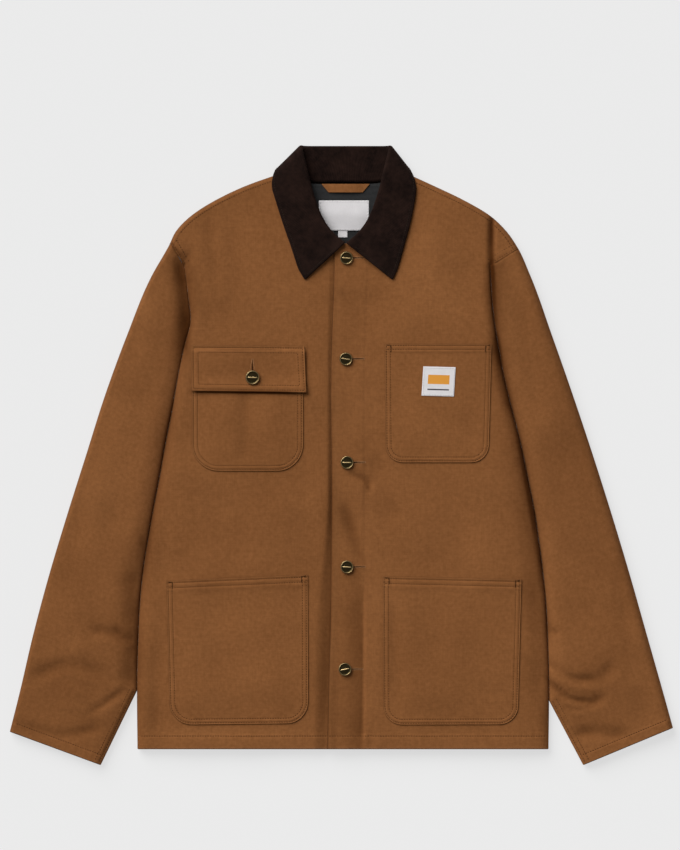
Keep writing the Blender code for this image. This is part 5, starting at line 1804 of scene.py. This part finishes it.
def raised_bar(bar, count=17, sides=9):
    """Points and faces of a low bar: half-round sections along X that shrink at both ends."""
    along = np.sin(np.linspace(-math.pi / 2, math.pi / 2, count))
    size = np.sqrt(np.clip(1 - along ** 6, 0.02, 1))
    angles = np.linspace(0, 2 * math.pi, sides, endpoint=False)
    y = bar["width"] / 2 * size[:, None] * np.cos(angles)
    z = bar["base"] + bar["height"] * size[:, None] * np.sin(angles)
    x = np.broadcast_to(bar["length"] / 2 * along[:, None], y.shape)
    index = np.arange(count * sides).reshape(count, sides)
    caps = np.concatenate([
        np.stack([np.full(sides - 2, end[0]), end[1:-1], end[2:]], axis=1)
        for end in (index[0][::-1], index[-1])
    ])
    return np.stack([x, y, z], axis=-1).reshape(-1, 3), tube_quads(index), caps


def make_buttons(metal):
    """Shank buttons: a turned disc with a raised rim and a plain bar across its face."""
    disc, disc_quads, disc_caps, shine = turned(BUTTON_PROFILE, BUTTON_SIDES)
    bar, bar_quads, bar_caps = raised_bar(BUTTON_BAR)
    bar_shine = np.where(bar[:, 2] > BUTTON_BAR["base"] + 0.2, 1.0, 0.2)
    faces = [
        np.concatenate([disc_quads, bar_quads + len(disc)]),
        np.concatenate([disc_caps, bar_caps + len(disc)]),
    ]
    for name, spec in BUTTONS.items():
        turn = math.radians(spec["turn"])
        c, s = math.cos(turn), math.sin(turn)
        spin = np.array([(c, s, 0), (-s, c, 0), (0, 0, 1)])
        points = np.concatenate([disc, bar]) @ spin * spec.get("size", 1.0)
        rim = points[:BUTTON_SIDES, :2] * BUTTON_RADIUS / BUTTON_PROFILE["radius"][1]
        rim = np.array(spec["place"]) + rim
        height = flap_outer(rim) if name == "flap_button" else front_outer(LEFT, rim)
        add_piece(
            f"{name}_brass", points + (*spec["place"], height.max() + BUTTON_GAP), faces, [metal],
            marks={"shine": np.concatenate([shine, bar_shine])}, stands_for=[name],
        )


def hole_half(share, opening):
    """Half width of a buttonhole: wide where its button stands, closed at its far end."""
    return HOLE_END + opening * (1 - share) ** 1.3


def buttonhole_bars(start, run, opening):
    """Close bars round a slit that starts under a button; opening is its half width there."""
    start, run = np.array(start, float), np.array(run, float)
    side = np.array([-run[1], run[0]])
    count = int(BUTTONHOLE / HOLE_BAR_STEP)
    share = ((np.arange(count) + 0.5) / count)[:, None]
    places = [
        (
            start + BUTTONHOLE * share * run
            + turn * (hole_half(share, opening) + HOLE_BAR_STEP) * side,
            np.tile(side, (count, 1)), BUTTONHOLE_BAR,
        )
        for turn in (-1, 1)
    ]
    end = start + BUTTONHOLE * run
    return [*places, dense_stitches(end - 1.3 * side, end + 1.3 * side, BUTTONHOLE_BAR)]


def slit_piece(name, start, run, opening, height, material):
    """The slit of a buttonhole: a narrow lens laid on the cloth, near black as painted shadow."""
    start, run = np.array(start, float), np.array(run, float)
    side = np.array([-run[1], run[0]])
    share = np.linspace(0, 0.98, 19)[:, None]
    across = hole_half(share, opening) * np.sqrt(1 - share ** 8) * np.linspace(-1, 1, 5)[None]
    plan = start + BUTTONHOLE * share[..., None] * run + across[..., None] * side
    grid = with_height(plan, height(plan) + SLIT_RISE)
    points, faces, _, _ = closed_shell(grid, grid - (0, 0, SLIT_WALL), np.zeros(grid.shape[:2]))
    return add_piece(name, points, [faces], [material])


def border_rows(corners):
    """A straight row along each side of a closed outline."""
    return [straight(a, b, (0, 1)) for a, b in zip(corners, np.roll(corners, -1, axis=0))]


# ---- all the sewing ----
def make_sewing(thread, hole_thread, white_thread, slit):
    """Topstitching, bar tacks, buttonholes and slits, in a list for each piece they are on."""
    made = {name: [] for name in SHEETS}

    def sew(part, height, rows, bars=(), material=thread, facing=1, name=None):
        name = f"{name or part}_stitching"
        made[part].append(add_sewing(name, height, rows, bars, material, facing))

    hem_y = HEM_Y + HEM_ROW
    for side, side_name in SIDE_NAMES.items():
        rows = [straight((HEM_START[side], hem_y), (side * (SIDE[side_name][0] - 4), hem_y), (0, 1))]
        seam = armhole_seam(side, np.linspace(0, 1, 12))
        rows += [parallel(seam, side * away, trim=0.5) for away in ARMHOLE_ROWS]
        rows.append(parallel(shoulder_line(side), side * SHOULDER_ROW, trim=3.0))
        front = partial(front_outer, side)
        sew(f"front_{side_name}", front, rows)
        if side == LEFT:
            bars = []
            for button, spec in BUTTONS.items():
                if button != "flap_button":
                    bars += buttonhole_bars(spec["place"], FRONT_HOLE["run"], FRONT_HOLE["bars"])
            sew("front_left", front, (), bars, hole_thread, name="buttonhole")
        edge, cuff = sleeve_inner_edge(side), cuff_line(side)
        rows = [parallel(edge, side * away, trim=2.0) for away in SLEEVE_SEAM_ROWS]
        rows.append(parallel(cuff, side * CUFF_ROW, trim=4.0))
        sew(f"top_sleeve_{side_name}", partial(over_sleeve_outer, side), rows)
        rows = [parallel(cuff, side * CUFF_ROW, trim=6.0)]
        sew(f"under_sleeve_{side_name}", partial(under_sleeve_outer, side), rows, facing=-1)
    from_x, to_x = BACK_HEM
    sew("back", back_outer, [straight((from_x, hem_y), (to_x, hem_y), (0, 1))], facing=-1)
    for part, patch in PATCHES.items():
        sides, mouth = pocket_outline(patch)
        rows = [parallel(sides, away, trim=1.5) for away in POCKET_ROWS]
        rows += [parallel(mouth, -away, trim=2.0) for away in patch["hem_rows"]]
        bars = []
        for end, turn in zip(mouth, (1, -1)):
            corner = end + np.multiply(TACK_CORNER, (turn, 1))
            for start, stop, width in BAR_TACKS:
                ends = (corner + np.multiply(place, (turn, 1)) for place in (start, stop))
                bars.append(dense_stitches(*ends, width))
        sew(part, partial(pocket_outer, part), rows, bars)
    corners, rows = flap_outline()[:-1], []
    for away in FLAP_ROWS:
        rows += border_rows(corners + away * np.array([(1, -1), (1, 1), (-1, 1), (-1, -1)]))
    sew("pocket_flap", flap_outer, rows)
    bars = buttonhole_bars(BUTTONS["flap_button"]["place"], FLAP_HOLE["run"], FLAP_HOLE["bars"])
    sew("pocket_flap", flap_outer, (), bars, hole_thread, name="flap_buttonhole")
    border = np.array([(-1, -1), (1, -1), (1, 1), (-1, 1)])
    half = (CHEST_PATCH["width"] / 2 - PATCH_ROW, CHEST_PATCH["height"] / 2 - PATCH_ROW)
    rows = border_rows(border * half @ patch_turn() + CHEST_PATCH["centre"])
    sew("chest_patch", patch_outer, rows, (), white_thread)
    left, right, bottom, top = NECK_LABEL.values()
    low, high = np.array([left, bottom]), np.array([right, top])
    rows = border_rows((low + high) / 2 + border * ((high - low) / 2 - LABEL_ROW))
    sew("neck_label", label_outer, rows, (), white_thread)
    for name, spec in BUTTONS.items():
        on_flap = name == "flap_button"
        part, hole = ("pocket_flap", FLAP_HOLE) if on_flap else ("front_left", FRONT_HOLE)
        height = flap_outer if on_flap else partial(front_outer, LEFT)
        piece = slit_piece(f"{name}_slit", spec["place"], hole["run"], hole["slit"], height, slit)
        made[part].append(piece)
    return made


# ---- light, table and camera ----
SKY = 0.22
FAR_WALL = 0.83           # how bright the pale surround looks past the table
KEY = 3.7
KEY_ANGLE = 50.0
KEY_FROM = (-0.54, 0.69, 0.66)
FLOOR_GREY = 0.18
FLOOR_GLOW = 0.660
TABLE_HALF = 6.0          # metres
VIEW_HEIGHT = 1105.0
VIEW_CENTRE = (-1.3, 38.4)


def add_light_and_floor():
    """Soft key light from the upper left, pale surround, and a plain pale table."""
    scene = bpy.context.scene
    scene.view_settings.view_transform = "Standard"
    world = bpy.data.worlds.new("pale studio")
    world.use_nodes = True
    tree = world.node_tree
    backgrounds = [tree.nodes["Background"], tree.nodes.new("ShaderNodeBackground")]
    for node, strength in zip(backgrounds, (SKY, FAR_WALL)):
        feed(tree, node.inputs[0], (1, 1, 1))
        feed(tree, node.inputs[1], strength)
    seen = add_node(tree, "ShaderNodeLightPath").outputs["Is Camera Ray"]
    inputs = {0: seen, 1: backgrounds[0].outputs[0], 2: backgrounds[1].outputs[0]}
    either = add_node(tree, "ShaderNodeMixShader", inputs).outputs[0]
    feed(tree, tree.nodes["World Output"].inputs[0], either)
    scene.world = world
    sun = bpy.data.lights.new("key", "SUN")
    sun.energy = KEY
    sun.angle = math.radians(KEY_ANGLE)
    key = bpy.data.objects.new("key", sun)
    key.rotation_mode = "QUATERNION"
    key.rotation_quaternion = Vector(KEY_FROM).to_track_quat("Z", "Y")
    scene.collection.objects.link(key)
    mesh = bpy.data.meshes.new("table_top")
    corners = [(x * TABLE_HALF, y * TABLE_HALF, 0) for x, y in ((-1, -1), (1, -1), (1, 1), (-1, 1))]
    mesh.from_pydata(corners, [], [(0, 1, 2, 3)])
    floor, _, _ = plain_material(
        "pale table", Base_Color=(FLOOR_GREY,) * 3, Roughness=1.0, Specular_IOR_Level=0.0,
        Emission_Color=(1, 1, 1), Emission_Strength=FLOOR_GLOW,
    )
    mesh.materials.append(floor)
    table_top = bpy.data.objects.new("table_top", mesh)
    scene.collection.objects.link(table_top)


def add_camera():
    """Straight above, level with the jacket, showing 884 by 1105 mm of the table."""
    camera = bpy.data.cameras.new("camera")
    camera.type = "ORTHO"
    camera.ortho_scale = VIEW_HEIGHT * MM
    camera.clip_end = 10.0
    obj = bpy.data.objects.new("camera", camera)
    obj.location = (VIEW_CENTRE[0] * MM, VIEW_CENTRE[1] * MM, 3.0)
    bpy.context.scene.collection.objects.link(obj)
    bpy.context.scene.camera = obj


# ---- the whole jacket ----
# Each cloth piece as cut: width and length, area in square metres where it isn't a rectangle,
# how it is held, and what it lies on.
SHEETS = {
    "front_right": (290, 750, 0.186, "laid", ["back"]),
    "front_left": (288, 750, 0.180, "laid", ["back", "front_right"]),
    "back": (542, 752, 0.345, "laid", ["table_top"]),
    "top_sleeve_right": (182, 700, 0.085, "laid", ["under_sleeve_right"]),
    "under_sleeve_right": (152, 695, 0.0605, "laid", ["table_top"]),
    "top_sleeve_left": (180, 700, 0.079, "laid", ["under_sleeve_left"]),
    "under_sleeve_left": (150, 695, 0.0575, "laid", ["table_top"]),
    "collar": (96, 470, 0.0385, "folded", ["front_right", "front_left", "back"]),
    "chest_pocket_right": (146, 157, 0.0225, "laid", ["front_right"]),
    "chest_pocket_left": (138, 154, 0.0210, "laid", ["front_left"]),
    "lower_pocket_right": (183, 194, 0.0345, "laid", ["front_right"]),
    "lower_pocket_left": (179, 193, 0.0338, "laid", ["front_left"]),
    "pocket_flap": (149, 61, None, "laid", ["chest_pocket_right", "front_right"]),
    "chest_patch": (43, 39, None, "laid", ["chest_pocket_left"]),
    "neck_lining": (122, 88, None, "laid", ["back"]),
    "hanger_loop": (62, 11, None, "folded", ["neck_lining"]),
    "neck_label": (64.5, 38.5, None, "laid", ["neck_lining"]),
    "size_tab": (11.5, 10, None, "laid", ["neck_label"]),
}


def main():
    """Materials, camera, light, and every piece in its place."""
    groups = {"weave": weave_group(), "mottle": mottle_group(), "rubbed": rubbed_and_highlight_group()}
    canvas = canvas_material(
        "duck canvas", groups, dark=(0.169, 0.0630, 0.0186), light=(0.275, 0.1100, 0.0366),
        worn_and_highlight=(0.32, 0.14, 0.05), rim_shadow=(0.040, 0.0125, 0.0030),
    )
    corduroy = corduroy_material(groups)
    lining = lining_material()
    label = label_material("neck label tape", groups)
    patch = label_material("chest patch tape", groups, PATCH_BANDS)
    thread = thread_material("canvas thread", (0.055, 0.020, 0.0062), (0.100, 0.038, 0.0115))
    hole_thread = thread_material("buttonhole thread", (0.25, 0.11, 0.042), (0.38, 0.19, 0.085))
    dark_thread = thread_material("collar thread", (0.012, 0.008, 0.006), (0.03, 0.02, 0.014))
    white_thread = thread_material("label thread", (0.6, 0.58, 0.58), (0.8, 0.78, 0.78))
    slit = thread_material("slit shadow", (0.010, 0.004, 0.0015), (0.020, 0.008, 0.003))
    brass = brass_material()

    add_camera()
    add_light_and_floor()
    pieces = {}
    for side, name in SIDE_NAMES.items():
        pieces[f"front_{name}"] = make_front(side, canvas, lining)
        pieces[f"top_sleeve_{name}"] = make_top_sleeve(side, canvas, lining)
        pieces[f"under_sleeve_{name}"] = make_under_sleeve(side, canvas, lining)
    pieces["back"] = make_back(canvas, lining)
    pieces["collar"], middle, normals = make_collar(corduroy)
    pieces.update({name: make_pocket(name, canvas) for name in PATCHES})
    pieces["pocket_flap"] = make_flap(canvas)
    pieces["chest_patch"] = make_chest_patch(patch)
    pieces.update(make_neck_pieces(canvas, lining, label))
    make_buttons(brass)
    sewing = make_sewing(thread, hole_thread, white_thread, slit)
    sewing["collar"].append(collar_sewing(middle, normals, dark_thread))


main()
